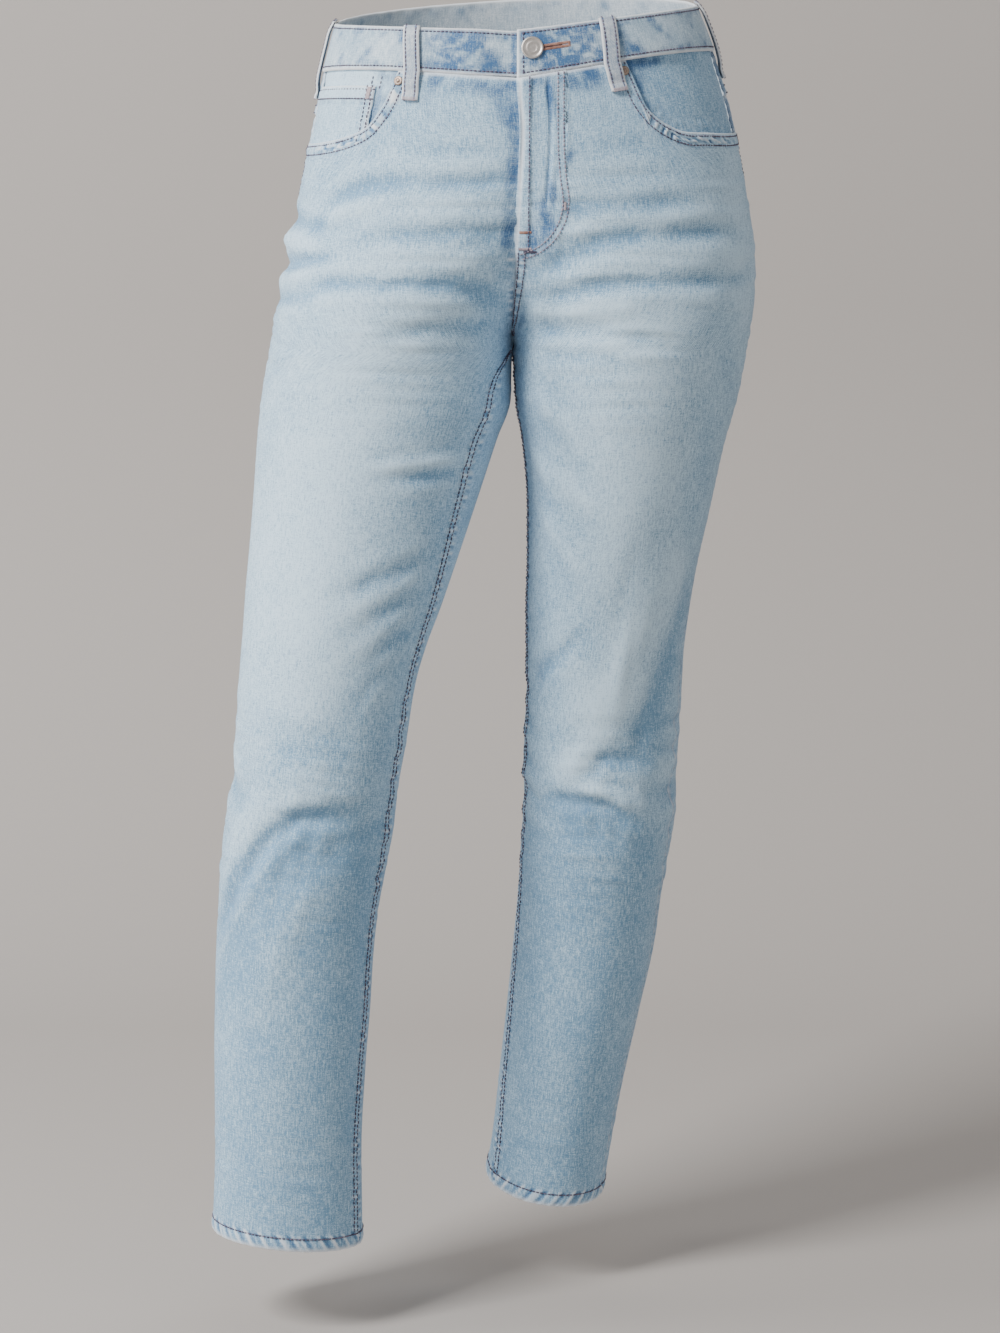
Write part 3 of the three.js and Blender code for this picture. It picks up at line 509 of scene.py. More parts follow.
# The same beside the rise: (side, mm from the rise seam, z, wide, tall, amount).
RISE_DEEP = [
    (-1, 5, -84, 9, 66, 0.9), (-1, 7, -138, 9, 26, 0.9), (-1, 16, -27, 40, 9, 0.85),
    (-1, 9, -42, 12, 18, 0.9), (-1, 3, -210, 4, 40, 0.5), (1, 10, -24, 8, 9, 0.55),
    (1, 22, -28, 4, 16, 0.9), (1, 24, -42, 3, 14, 0.6), (1, 37, -81, 5, 8, 0.7),
    (1, 19, -126, 4, 20, 0.95), (1, 25, -114, 4, 14, 0.9), (1, 12, -121, 5, 7, 0.6),
    (1, 27, -150, 9, 10, 0.75), (1, 13, -150, 8, 18, 0.9), (1, 23, -142, 11, 22, 0.95),
    (1, 6, -164, 6, 10, 0.6), (1, 17, -217, 8, 9, 0.6), (1, 40, -28, 14, 10, 0.7),
    (1, 3, -225, 5, 16, 0.4),
]


def patches(table, side, angle, z):
    """Sum of one side's patches, each a soft oval."""
    total = np.zeros(np.broadcast(angle, z).shape)
    for patch_side, at, height, wide, tall, amount in table:
        if patch_side != side:
            continue
        size = mm_per_degree(side, np.full(1, float(at)), np.full(1, float(height)))[0]
        spread = ((angle - at) * size / wide) ** 2 + ((z - height) / tall) ** 2
        total = total + amount * np.exp(-spread)
    return total


def wash_marks(side, angle, z):
    """How worn, how blue, roped and edge-rubbed the cloth is at each point, with painted light and shade on
    folds, knees, the fly's crease and the left outseam.
    """
    to_out, to_in, front = seam_gaps(side, angle, z)
    folds = big_folds(side, angle, z)
    # Darker below the knees. Fold height paints the colour: ridges paler, partly rubbed wear and partly
    # painted light; troughs darker and bluer as painted shade.
    worn = 0.44 - 0.16 * ease(-585, -665, z) + 0.75 * patches(WEAR_AND_LIGHT_PATCHES, side, angle, z)
    worn = np.clip(worn + 0.16 * np.clip(folds, -3, 2), 0.15, 1)
    blue_and_shade = patches(BLUE_AND_SHADE_PATCHES, side, angle, z) + 0.04 * np.clip(-folds - 0.8, 0, 3)
    for rise_side, gap_to, height, wide, tall, amount in RISE_DEEP:
        if rise_side == side:
            spot = np.exp(-(((to_in - gap_to) / wide) ** 2) - ((z - height) / tall) ** 2)
            blue_and_shade = np.maximum(blue_and_shade, amount * spot * front)
    outer, felled, mouth, gap = pucker_waves(side, angle, z, to_out, to_in, front)
    # Painted shade along the fly's crease, over the dip that the crease makes in the cloth.
    blue_and_shade = blue_and_shade + 0.55 * fly_crease(side, to_in, front, z)
    blue_and_shade = blue_and_shade + np.where(front, 0.35 * bell(gap - 9.6, 1.3), 0)
    rope = 1.1 * outer + np.where(z < -160, 1.9, 0.4) * felled + np.where(front, 2.9 * mouth, 0)
    # Painted shade in the left leg's outseam valley, and less of its pale rubbed edge above the knee, so
    # that it looks shaded.
    blue_and_shade = blue_and_shade + (0.7 if side > 0 else 0) * bell(to_out, 2.8)
    edge = bell(to_out, 1.6) * (0.25 + 0.65 * ease(-480, -540, z) if side > 0 else 0.8)
    edge = edge + np.where(front & (side > 0) & (z > CROTCH), 1.0, 0.35) * bell(to_in, 1.5)
    return {"worn": worn, "blue_and_shade": blue_and_shade, "rope": rope, "edge": edge}


def feed(tree, node, inputs):
    """Give a node's inputs their values, or link them to other nodes' outputs."""
    for key, value in inputs.items():
        if isinstance(value, bpy.types.NodeSocket):
            tree.links.new(value, node.inputs[key])
        else:
            node.inputs[key].default_value = value


def place_node(tree, kind, inputs=None, **settings):
    node = tree.nodes.new(kind)
    for key, value in settings.items():
        setattr(node, key, value)
    feed(tree, node, inputs or {})
    return node


def new_sockets(tree, in_out, sockets):
    """Sockets of a group, from rows of (name, kind, first value or None)."""
    for name, kind, start in sockets:
        socket = tree.interface.new_socket(name, in_out=in_out, socket_type="NodeSocket" + kind)
        if start is not None:
            socket.default_value = start


def new_material(name):
    material = bpy.data.materials.new(name)
    material.use_nodes = True
    return material, material.node_tree, material.node_tree.nodes["Principled BSDF"]


def colour(red, green, blue):
    """A colour given as it looks on a screen, 0 to 255."""
    parts = [value / 255 for value in (red, green, blue)]
    return tuple(v / 12.92 if v < 0.04 else ((v + 0.055) / 1.055) ** 2.4 for v in parts) + (1,)


def twill_group():
    """Washed twill: slub threads, weft nicks, clouds of fading, roped seams and worn edges, and the painted
    light and shade that the marks carry.
    """
    group = bpy.data.node_groups.new("washed_twill", "ShaderNodeTree")
    new_sockets(group, "INPUT", [(name, "Color", None) for name in ("Pale", "Mid", "Deep", "Fluff")])
    new_sockets(group, "INPUT", [("Cloud", "Float", 0.5), ("Wear_and_painted_light", "Float", 0.4), ("Blue", "Float", 0),
                                 ("Rope", "Float", 0), ("Edge", "Float", 0)])
    new_sockets(group, "OUTPUT", [("Color", "Color", None), ("Height", "Float", None),
                                  ("Roughness", "Float", None)])
    given = place_node(group, "NodeGroupInput").outputs
    flat = place_node(group, "ShaderNodeUVMap", uv_map="flat_cloth").outputs["UV"]

    def grain(stretch, detail, turn=0.0):
        """Noise on the flat cloth; stretch is bumps per metre across and along."""
        moved = place_node(group, "ShaderNodeMapping",
                           {"Vector": flat, "Scale": (*stretch, 1), "Rotation": (0, 0, turn)})
        return place_node(group, "ShaderNodeTexNoise",
                          {"Vector": moved.outputs[0], "Scale": 1.0, "Detail": detail}).outputs[0]

    def sums(kind, a, b, clamp=False):
        return place_node(group, "ShaderNodeMath", {0: a, 1: b}, operation=kind, use_clamp=clamp).outputs[0]

    def swing(field, share):
        """A noise field swung about zero."""
        return sums("MULTIPLY", sums("SUBTRACT", field, 0.5), share)

    def blend(factor, a, b):
        return place_node(group, "ShaderNodeMix", {0: factor, 6: a, 7: b}, data_type="RGBA").outputs[2]

    slub = grain((1150, 110), 3)
    weft = grain((150, 1200), 2)
    nick = grain((980, 980), 3)
    mottle = grain((430, 330), 3)
    cloud = grain((34, 26), 4)
    blot = grain((85, 70), 3)
    diagonal = place_node(group, "ShaderNodeMapping",
                          {"Vector": flat, "Scale": (1, 1, 1), "Rotation": (0, 0, 1.1)}).outputs[0]
    twill = place_node(group, "ShaderNodeTexWave",
                       {"Vector": diagonal, "Scale": 330.0, "Distortion": 1.2, "Detail": 1.0}).outputs[1]
    tone = sums("ADD", given["Wear_and_painted_light"], swing(cloud, given["Cloud"]))
    for field, share in ((mottle, 0.9), (slub, 1.75), (weft, 0.9), (nick, 1.75), (twill, 0.3)):
        tone = sums("ADD", tone, swing(field, share))
    tone = sums("ADD", tone, 0, True)
    base = blend(tone, given["Mid"], given["Pale"])
    # Kept blue and painted shade both pull the colour towards the darkest blue.
    patch = sums("ADD", sums("ADD", given["Blue"], swing(blot, 1.5)), swing(mottle, 0.8))
    patch = place_node(group, "ShaderNodeMapRange", {"Value": patch, "From Min": 0.05, "From Max": 1.15},
                       interpolation_type="SMOOTHSTEP").outputs[0]
    patch = sums("MULTIPLY", patch, sums("MULTIPLY", given["Blue"], 2.2, True))
    patch = sums("MULTIPLY", patch, sums("SUBTRACT", 1.32, sums("MULTIPLY", tone, 0.7)))
    base = blend(patch, base, given["Deep"])
    base = blend(sums("MULTIPLY", given["Rope"], -0.5, True), base, given["Deep"])
    base = blend(sums("MULTIPLY", given["Rope"], 0.55, True), base, given["Fluff"])
    base = blend(sums("MULTIPLY", given["Edge"], 0.85, True), base, given["Fluff"])
    height = sums("MULTIPLY", slub, 0.5)
    for field, share in ((weft, 0.35), (twill, 0.3), (nick, 0.3)):
        height = sums("ADD", height, sums("MULTIPLY", field, share))
    rough = place_node(group, "ShaderNodeMapRange", {"Value": nick, "To Min": 0.82, "To Max": 0.98})
    place_node(group, "NodeGroupOutput", {"Color": base, "Height": height, "Roughness": rough.outputs[0]})
    return group


TWILL = twill_group()


def twill(name, pale, mid, blue_and_shade, fluff, cloud, bump=0.5):
    """Denim of one wash: its four colours and how cloudy it is, marked by the piece's own attributes."""
    material, tree, shader = new_material(name)
    marks = {socket: place_node(tree, "ShaderNodeAttribute", attribute_name=key).outputs["Fac"]
             for socket, key in (("Wear_and_painted_light", "worn"), ("Blue", "blue_and_shade"), ("Rope", "rope"), ("Edge", "edge"))}
    woven = place_node(tree, "ShaderNodeGroup",
                       {"Pale": colour(*pale), "Mid": colour(*mid), "Deep": colour(*blue_and_shade),
                        "Fluff": colour(*fluff), "Cloud": cloud, **marks}, node_tree=TWILL).outputs
    raised = place_node(tree, "ShaderNodeBump",
                        {"Height": woven["Height"], "Strength": bump, "Distance": 0.0004}).outputs[0]
    feed(tree, shader, {"Base Color": woven["Color"], "Roughness": woven["Roughness"], "Normal": raised,
                        "Specular IOR Level": 0.25, "Sheen Weight": 0.12, "Sheen Roughness": 0.5})
    return material


WASHED = twill("washed_denim", pale=(210, 237, 254), mid=(114, 156, 190), blue_and_shade=(68, 106, 150),
               fluff=(236, 242, 248), cloud=0.6)
INSIDE = twill("denim_inner_face", pale=(230, 238, 244), mid=(176, 194, 208), blue_and_shade=(140, 164, 188),
               fluff=(232, 236, 240), cloud=0.2)

# Columns of a panel stand close together beside its seams and at the fly's crease; in mm from the seam.
EDGE_STEPS = np.array([0.05, 0.7, 1.4, 2.2, 3.2, 4.6, 6.2, 8, 10.2])
FLY_STEPS = np.array([12.6, 15, 17.4, 19, 19.9, 20.5, 21, 21.5, 22.1, 23, 24.2, 25.6, 27.2, 28.6, 30.2,
                      32.4, 34.6, 37])
PANEL_WALL = 1.2
ROW_STEP = 2.5
LEVEL_ROWS = -110.0
WAIST_ROW = -40.0
RISE_DEGREE = 2.7


def spread_columns(side, face, z, middle, lap=None):
    """Angles and distances of a panel's columns on the rows at z, close together at both seams."""
    row = ring(side, z)
    start = row["outseam"]
    end = row["inseam"] if face > 0 else back_end(row)
    share = np.linspace(0, 1, 140)
    fine = start[:, None] + (end - start)[:, None] * share
    points = form_point(side, fine, np.broadcast_to(z[:, None], fine.shape))
    step = np.linalg.norm(np.diff(points, axis=1), axis=2)
    length = np.concatenate([np.zeros((len(z), 1)), np.cumsum(step, 1)], 1)
    inner_steps = np.concatenate([EDGE_STEPS, FLY_STEPS]) if lap is not None else EDGE_STEPS
    angles = []
    places = []
    for i in range(len(z)):
        whole = length[i, -1]
        inside = np.linspace(EDGE_STEPS[-1], whole - inner_steps[-1], middle)[1:-1]
        spots = np.concatenate([EDGE_STEPS, inside, whole - inner_steps[::-1]])
        angle = np.interp(spots, length[i], fine[i])
        if lap is not None:
            slope = (fine[i, -1] - fine[i, -2]) / (whole - length[i, -2])
            angle[-1] = end[i] + lap[i] * slope
        angles.append(angle)
        places.append(spots - whole / 2)
    return np.array(angles), np.array(places)


def fly_angle(z, x):
    """Angle on the left half at x mm from the rise seam."""
    row = ring(1, z)
    return np.degrees(np.arccos(np.clip((x - row["seam"] - row["centre"]) / row["half"], -1, 1)))


def hem_rows(side):
    """Rows at the hem: a 12 mm turn-up of three layers with a rounded fold at its foot."""
    above = np.array([14, 12.8, 11.9, 11.2, 10.4, 9.2, 7.4, 5.6, 3.9, 2.4, 1.2, 0.5, 0.12, 0])
    out = np.array([0, 0.05, 0.25, 0.1, -0.1, 0.35, 0.6, 0.7, 0.65, 0.5, 0.2, -0.2, -0.7, -1.3])
    wall = np.array([1.2, 1.5, 2.2, 2.7, 3, 3.2, 3.4, 3.5, 3.4, 3.2, 2.8, 2.3, 1.7, 1.0])
    return HEM[side] + above, out, wall


def panel(name, side, face, top, middle=64, top_rows=30, lap=None, warp=None):
    """Leg panel from its cut top edge down to the hem: level rows, under fanned ones that meet the cut."""
    hem_z, hem_out, hem_wall = hem_rows(side)
    z = np.arange(LEVEL_ROWS, hem_z[0] + 2, -ROW_STEP)
    out = np.concatenate([np.zeros(len(z)), hem_out])
    wall = np.concatenate([np.full(len(z), PANEL_WALL), hem_wall])
    z = np.concatenate([z, hem_z])
    angle, place = spread_columns(side, face, z, middle, lap(z) if lap else None)
    height = np.broadcast_to(z[:, None], angle.shape)
    t = np.linspace(0, 1, top_rows)[:-1] ** 0.9
    waist = spread_columns(side, face, np.full(1, WAIST_ROW), middle)[0][0]
    top_angle = warp(angle[0]) if warp else waist
    top_angles = top_angle + (angle[0] - top_angle) * ease(0, 1, t)[:, None]
    cut = top(top_angle)
    top_z = cut + (LEVEL_ROWS - cut) * t[:, None]
    if face < 0:
        short = -ring(side, top_z[:, -1])["inseam"] - top_angles[:, -1]
        top_angles = top_angles + short[:, None] * (top_angles / top_angles[:, -1:]) ** 3
    if lap:
        row = ring(side, top_z[:, -1])
        top_angles[:, -1] = row["inseam"] + lap(top_z[:, -1]) / RISE_DEGREE
        top_angles[:, -2] = fly_angle(top_z[:, -2], 0.7)
        steps = np.concatenate([EDGE_STEPS, FLY_STEPS])
        for k in range(3, len(steps) + 1):
            top_angles[:, -k] = fly_angle(top_z[:, -k], steps[k - 1])
    angle = np.concatenate([top_angles, angle])
    height = np.concatenate([top_z, height])
    place = np.concatenate([np.repeat(place[:1], len(t), 0), place])
    out = np.concatenate([np.zeros(len(t)), out])[:, None]
    wall = np.concatenate([np.full(len(t), PANEL_WALL), wall])[:, None]
    from_cut = cut - top_z
    lip = np.zeros(angle.shape)
    lip[:len(t)] = -0.5 * bell(from_cut, 0.9)
    to_hem = height - HEM[side]
    hem_pucker = (1 - ease(11.5, 15, to_hem)) * wander(place / 2.1 + 0.3 * to_hem, 21 + side)
    out = out + lip + 0.6 * hem_pucker
    outer = cloth(side, angle, height, out)
    inner = outer - form_normal(side, angle, height) * wall[..., None]
    marks = wash_marks(side, angle, height)
    near_cut = np.zeros(angle.shape)
    near_cut[:len(t)] = bell(from_cut, 1.3)
    marks["edge"] = np.maximum(marks["edge"], near_cut) + 1.1 * bell(to_hem - 0.4, 2.2)
    marks["rope"] = marks["rope"] + 2.0 * hem_pucker
    # Painted shadow in the groove of the hem's row of stitches.
    marks["blue_and_shade"] = marks["blue_and_shade"] + 0.5 * bell(to_hem - 10.2, 1.2)
    flat = np.stack([place, height], -1)
    sew(name, outer, inner, flat, marks, [WASHED, INSIDE], name.replace("_cloth", ""))


def mouth_cut(side):
    """Height of a front's cut top edge: the scooped mouth, then the waist seam."""
    angles, depths = MOUTH[side]
    last = angles[-1]
    return lambda angle: np.where(angle >= last, BAND_SEAM, curve(angles, depths, np.minimum(angle, last)))


def mouth_warp(side):
    """Columns gather where the mouth's edge is steep."""
    end = MOUTH[side][0][-1]
    return lambda angle: np.interp(angle, [0, 36, 62, 68, 104], [0, end - 6.5, end, end + 3, 90])


def fly_lap(z):
    """How far the left front's edge laps past the rise seam, over the zip."""
    return 2.6 * ease(-185, -165, z)


panel("front_right_cloth", -1, 1, mouth_cut(-1), 78, 44, warp=mouth_warp(-1))
panel("front_left_cloth", 1, 1, mouth_cut(1), 78, 44, warp=mouth_warp(1), lap=fly_lap)

# Backs and yokes: two back panels under a V of two yokes, which give the seat its shape in place of
# darts. Same twill; the yoke seam and the seat seam are felled and sewn twice.
YOKE_SIDE = 34
YOKE_CENTRE = 66
YOKE_ROW = -45.0


def waist_angle(side):
    """Angle of the rise seam near the waist."""
    return float(ring(side, np.full(1, WAIST_ROW))["inseam"][0])


def yoke_cut(side):
    """Height of the yoke seam, sloping down from the side to the centre back."""
    waist = waist_angle(side)
    return lambda angle: BAND_SEAM - YOKE_SIDE - (YOKE_CENTRE - YOKE_SIDE) * np.clip(-angle / waist, 0, 1)


def yoke(name, side):
    """Yoke between the waist seam and the cut edge of the back."""
    angle, place = spread_columns(side, -1, np.full(1, YOKE_ROW), 46)
    t = np.concatenate([[0, 0.02], np.linspace(0.05, 0.95, 20), [0.98, 1]])
    foot = yoke_cut(side)(angle[0])
    z = BAND_SEAM + (foot - BAND_SEAM) * t[:, None]
    gap = ring(side, z)["inseam"] - ring(side, np.full(1, YOKE_ROW))["inseam"][0]
    angles = angle - gap * (angle / angle[:, -1:]) ** 3
    to_seam = z - foot
    ridge = 0.5 * ease(1, 2, to_seam) * (1 - ease(8, 10, to_seam)) - 0.7 * bell(to_seam, 1.1)
    waves = wander(place / 2.0, 31 + side)
    outer = cloth(side, angles, z, ridge + 0.3 * np.exp(-np.abs(to_seam - 4) / 5) * waves)
    inner = outer - form_normal(side, angles, z) * PANEL_WALL
    marks = wash_marks(side, angles, z)
    marks["rope"] = marks["rope"] + 1.1 * np.exp(-np.abs(to_seam - 3) / 5) * waves
    marks["blue_and_shade"] = np.maximum(marks["blue_and_shade"], 0.55 * bell(z - BAND_SEAM, 9))
    marks["edge"] = marks["edge"] + 0.7 * bell(to_seam, 1.6)
    flat = np.stack([np.broadcast_to(place, z.shape), z], -1)
    sew(name, outer, inner, flat, marks, [WASHED, INSIDE], name.replace("_cloth", ""))


panel("back_right_cloth", -1, -1, yoke_cut(-1))
panel("back_left_cloth", 1, -1, yoke_cut(1))
yoke("yoke_right_cloth", -1)
yoke("yoke_left_cloth", 1)

# Waistband: one strip of doubled denim round the waist, its left end lapped over the right and sewn
# down. The folded edges are rubbed pale; clouds of blue stay between them.
LAP_START = -0.8
BAND_END = 376.2
UNDER_LAP = (346, 358)
BAND_STITCH = 15.2
WAIST_DEGREE = 2.1
HOLE_Z = 2.0
HOLE_X = 16.5
hole_turn = 90 - float(np.degrees(np.arccos(HOLE_X / ring(1, np.full(1, HOLE_Z))["half"]))[0])
BAND_CLOTH = twill("waistband_denim", pale=(218, 234, 244), mid=(148, 178, 200), blue_and_shade=(74, 112, 156),
                   fluff=(240, 242, 244), cloud=1.1)


def band_spot(turn):
    """Side and angle of a turn, which is degrees round the waist from the lapped end."""
    t = np.mod(turn, 360)
    return np.where(t < 180, 1, -1), np.where(t < 180, 90 - t, t - 270)


def band_normal(turn, z):
    side, angle = band_spot(turn)
    return np.where((side > 0)[..., None], form_normal(1, angle, z), form_normal(-1, angle, z))


def band_point(turn, z, out=0.0):
    """Point of the waistband's face; its right end runs lower and deeper, under the lap."""
    side, angle = band_spot(turn)
    under = ease(*UNDER_LAP, turn)
    height = z * (1 - 0.04 * under)
    base = np.where((side > 0)[..., None], form_point(1, angle, height), form_point(-1, angle, height))
    swell = 0.25 * wander(turn / 7, 41) + 0.3 * wander(turn / 2.1 + z / 9, 42) * ease(6, 16, np.abs(z))
    return base + band_normal(turn, height) * (0.6 + swell - 3.0 * under + out)[..., None]


lap_turns = LAP_START + np.array([0, 0.15, 0.4, 0.8, 1.3])
hole_turns = np.arange(hole_turn - 3.4, hole_turn + 7.2, 0.2)
turns = np.unique(np.concatenate([lap_turns, np.arange(1.2, BAND_END, 1.05), [BAND_END], hole_turns]))
band_z = np.array([18.5, 18.4, 18, 17.3, 16.4, 15.2, 14.0, 12, 9, 6, 3.4, 2.7, 2.35, 2, 1.65, 1.3, 0.6, -1.5,
                   -4, -6.5, -9, -12, -14.0, -15.2, -16.4, -17.3, -18, -18.4, -18.5])
turn_grid, z_grid = np.meshgrid(turns, band_z)
up = np.abs(z_grid)
curl = 0.2 - 1.4 * bell(18.55 - up, 0.45) - 0.38 * bell(BAND_STITCH - up, 0.8)
end_curl = -1.1 * bell(turn_grid - LAP_START, 0.25)
seam_dip = -0.3 * bell(turn_grid - LAP_START - 1.7, 0.4)
slit = bell(z_grid - HOLE_Z, 0.42) * ease(hole_turn - 3.4, hole_turn - 3, turn_grid)
slit = slit * (1 - ease(hole_turn + 6, hole_turn + 6.5, turn_grid))
band_outer = band_point(turn_grid, z_grid, curl + end_curl + seam_dip - 1.9 * slit)
band_inner = band_point(turn_grid, z_grid * 0.985, 0.5 * np.abs(curl) - 2.3)
near_button = bell(turn_grid - 16, 17) + 0.8 * bell(turn_grid - 343, 15)
cracks = wander(turn_grid / 2.4 + z_grid / 8, 48) + wander(turn_grid / 3.6 - z_grid / 3.4, 49)
clouds = 0.3 * wander(turn_grid / 3.1 + z_grid / 9, 47) + 0.22 * wander(turn_grid / 1.7 - z_grid / 4.3, 45)
clouds = clouds - 0.6 * bell(cracks, 0.24) * near_button
band_marks = {
    "worn": 0.45 + 0.15 * wander(turn_grid / 6 + z_grid / 11, 43),
    # Among the clouds of kept blue, the mark at turn 358.4 is painted shadow in the gap under the lapped
    # end.
    "blue_and_shade": 0.17 + 0.8 * near_button + clouds + 0.8 * bell(turn_grid - 358.4, 0.9) + 0.2 * bell(up - 13, 3),
    "rope": 0.5 * ease(12, 16, up) * wander(turn_grid / 1.1, 44),
    "edge": np.maximum(bell(18.2 - up, 1.5), bell(turn_grid - LAP_START, 0.7)),
}
sew("waistband_cloth", band_outer, band_inner, np.stack([turn_grid * WAIST_DEGREE, z_grid], -1), band_marks,
    [BAND_CLOTH, INSIDE], "waistband")

# Belt loops: five folded straps of denim, 13 mm wide, sewn in at the band's top edge and tacked flat
# below the waist seam. Their faces and rolled edges are rubbed nearly white.
LOOP_PATH = np.array([[19.6, 0.2], [19.3, 1.2], [18.2, 1.7], [16, 2.2], [12, 3.1], [7, 3.5], [-4, 3.4],
                      [-14, 3.3], [-22, 3.0], [-28, 2.4], [-32, 1.3], [-35, 0.9], [-39, 0.9], [-39.6, 0.5]])
LOOP_TOP = 18.4
LOOP_DROP = 57.4
LOOP_LENGTH = 58
LOOP_HALF = 6.6
# Name, side, and the angles at which a loop's top and foot sit; the front ones lean.
LOOPS = [
    ("front_right", -1, 55.2, 59.5),
    ("front_left", 1, 61.5, 63.5),
    ("side_right", -1, -4, -4),
    ("side_left", 1, -4, -4),
    ("back", 1, -90, -90),
]
LOOP_CLOTH = twill("belt_loop_denim", pale=(222, 226, 230), mid=(160, 176, 194), blue_and_shade=(76, 104, 146),
                   fluff=(236, 236, 236), cloud=0.3)


def loop_point(strap, along, across, out=0.0):
    """Point of a belt loop: along 0 to 1 down it, across in mm from its middle."""
    side, top, bottom = strap[1:]
    steps = np.linspace(0, 1, len(LOOP_PATH))
    z = curve(steps, LOOP_PATH[:, 0], along)
    under = curve(steps, LOOP_PATH[:, 1], along)
    angle = top + (bottom - top) * (LOOP_TOP - z) / LOOP_DROP
    turned = angle + across / mm_per_degree(side, angle, z)
    return form_point(side, turned, z) + form_normal(side, turned, z) * (under + out)[..., None]


half_strap = np.array([1.5, 3, 4.2, 5.4, 6.2, 6.55, LOOP_HALF])
whole_strap = np.concatenate([-half_strap[::-1], [0], half_strap])
along, across = np.meshgrid(np.linspace(0, 1, 56), whole_strap, indexing="ij")
from_middle = np.abs(across)
roll = 1.7 - 1.1 * (from_middle / LOOP_HALF) ** 10 - 0.22 * bell(from_middle - 4, 0.7)
roll = roll + 0.12 * wander(along * 22 + across * 0.3, 51) + 0.7 * ease(0.83, 0.88, along)
loop_marks = {
    "worn": 0.34 + 0.25 * wander(along * 9, 52),
    "blue_and_shade": 0.12 + 0.85 * bell(from_middle - 4.3, 0.8),
    "rope": 0.3 * wander(along * 26, 53),
    "edge": ease(4.8, 5.8, from_middle),
}
for strap in LOOPS:
    node_name = f"belt_loop_{strap[0]}"
    sew(node_name + "_cloth", loop_point(strap, along, across, roll), loop_point(strap, along, across),
        np.stack([across, -LOOP_LENGTH * along], -1), loop_marks, [LOOP_CLOTH], node_name)

# Front pockets: a denim facing shows in each mouth, with the coin pocket on the wearer's right one;
# the plain cotton bags behind them are seen only from inside.
FACING_OUT = -2.6
BAG_TOP = -19.5
POCKET_SIDE = -4
UNWASHED = {"worn": 0.5, "blue_and_shade": 0.0, "rope": 0.0, "edge": 0.0}
POCKETING = twill("cotton_pocketing", pale=(238, 234, 226), mid=(226, 221, 212), blue_and_shade=(214, 208, 198),
                  fluff=(240, 238, 232), cloud=0.1, bump=0.25)


def laid_patch(node_name, side, angle, z, out, thick, marks, materials):
    """A patch that lies on the panels, or under them where out is negative."""
    outer = cloth(side, angle, z, out)
    inner = outer - form_normal(side, angle, z) * thick
    flat = np.stack([angle * mm_per_degree(side, angle, z), z], -1)
    sew(node_name + "_cloth", outer, inner, flat, marks, materials, node_name)


for word, side, last in (("right", -1, 60), ("left", 1, 66)):
    z_grid, angle_grid = np.meshgrid(np.linspace(-9, -92, 48), np.linspace(POCKET_SIDE, last, 64),
                                     indexing="ij")
    facing_out = FACING_OUT - 0.8 + 1.1 * ease(-26, -19, z_grid)
    blue_and_shade = 0.6 * bell(z_grid + 22, 4) * (0.35 if side < 0 else ease(20, 52, angle_grid))
    blue_and_shade = blue_and_shade + 0.5 * bell(angle_grid - last + 8, 9)
    # Painted shadow beside the coin pocket's free side, on the right facing.
    if side < 0:
        blue_and_shade = blue_and_shade + 0.8 * bell(angle_grid - 46.6, 1.2) * ease(-26, -34, z_grid)
    marks = {**UNWASHED, "worn": 0.95 if side < 0 else 0.33, "blue_and_shade": blue_and_shade}
    laid_patch(f"pocket_facing_{word}", side, angle_grid, z_grid, facing_out, 1.0, marks, [WASHED, INSIDE])
    t_grid, angle_grid = np.meshgrid(np.linspace(0, 1, 40), np.linspace(POCKET_SIDE, 76, 40), indexing="ij")
    foot = -196 + 30 * ease(30, POCKET_SIDE, angle_grid) + 26 * ease(50, 76, angle_grid)
    z_grid = BAG_TOP + (foot - BAG_TOP) * t_grid
    laid_patch(f"pocket_bag_{word}", side, angle_grid, z_grid, -4.9, 1.0, UNWASHED, [POCKETING])

# Coin pocket: a small patch of the same twill on the right facing, with a turned hem along its top and
# one free side; its other side and its foot are caught under the front.
COIN_TOP = -30
COIN_DEPTH = 58
COIN_START = 2.5
COIN_TURN = 42.5
COIN_WIDTH = 95
COIN_OUT = -1.4


def coin_spot(along, across):
    """Angle and height on the coin pocket: along 0 to 1 down it, across 0 to 1 towards the mouth."""
    return COIN_START + (COIN_TURN + 2 * along) * across, COIN_TOP - COIN_DEPTH * along


t_grid, across_grid = np.meshgrid(np.concatenate([[0, 0.01, 0.03], np.linspace(0.06, 1, 30)]),
                                  np.linspace(0, 1, 44), indexing="ij")
angle_grid, z_grid = coin_spot(t_grid, across_grid)
side_mm = (COIN_START + COIN_TURN - angle_grid) * WAIST_DEGREE
coin_out = COIN_OUT - 0.6 * bell(t_grid, 0.012) - 0.6 * bell(side_mm, 0.8) + 0.5 * ease(-41, -40, z_grid)
coin_marks = {
    "worn": 0.62 + 0.25 * ease(-42, -40, z_grid),
    "blue_and_shade": 0.45 * bell(z_grid + 42, 3),
    "rope": 0.5 * np.exp(-side_mm / 6) * wander(z_grid / 1.8, 61),
    "edge": np.maximum(bell(z_grid - COIN_TOP, 1.5), bell(side_mm, 1.4)),
}
laid_patch("coin_pocket", -1, angle_grid, z_grid, coin_out, 1.0, coin_marks, [WASHED, INSIDE])

# Back pockets: plain patches of the same twill on the seat, with a turned hem at the mouth, sides that
# draw in and a low point. Two rows of stitches hold each down at its sides and foot.
POCKET_HALF = 62
POCKET_DEPTH = 118
POCKET_PUFF = 0.64


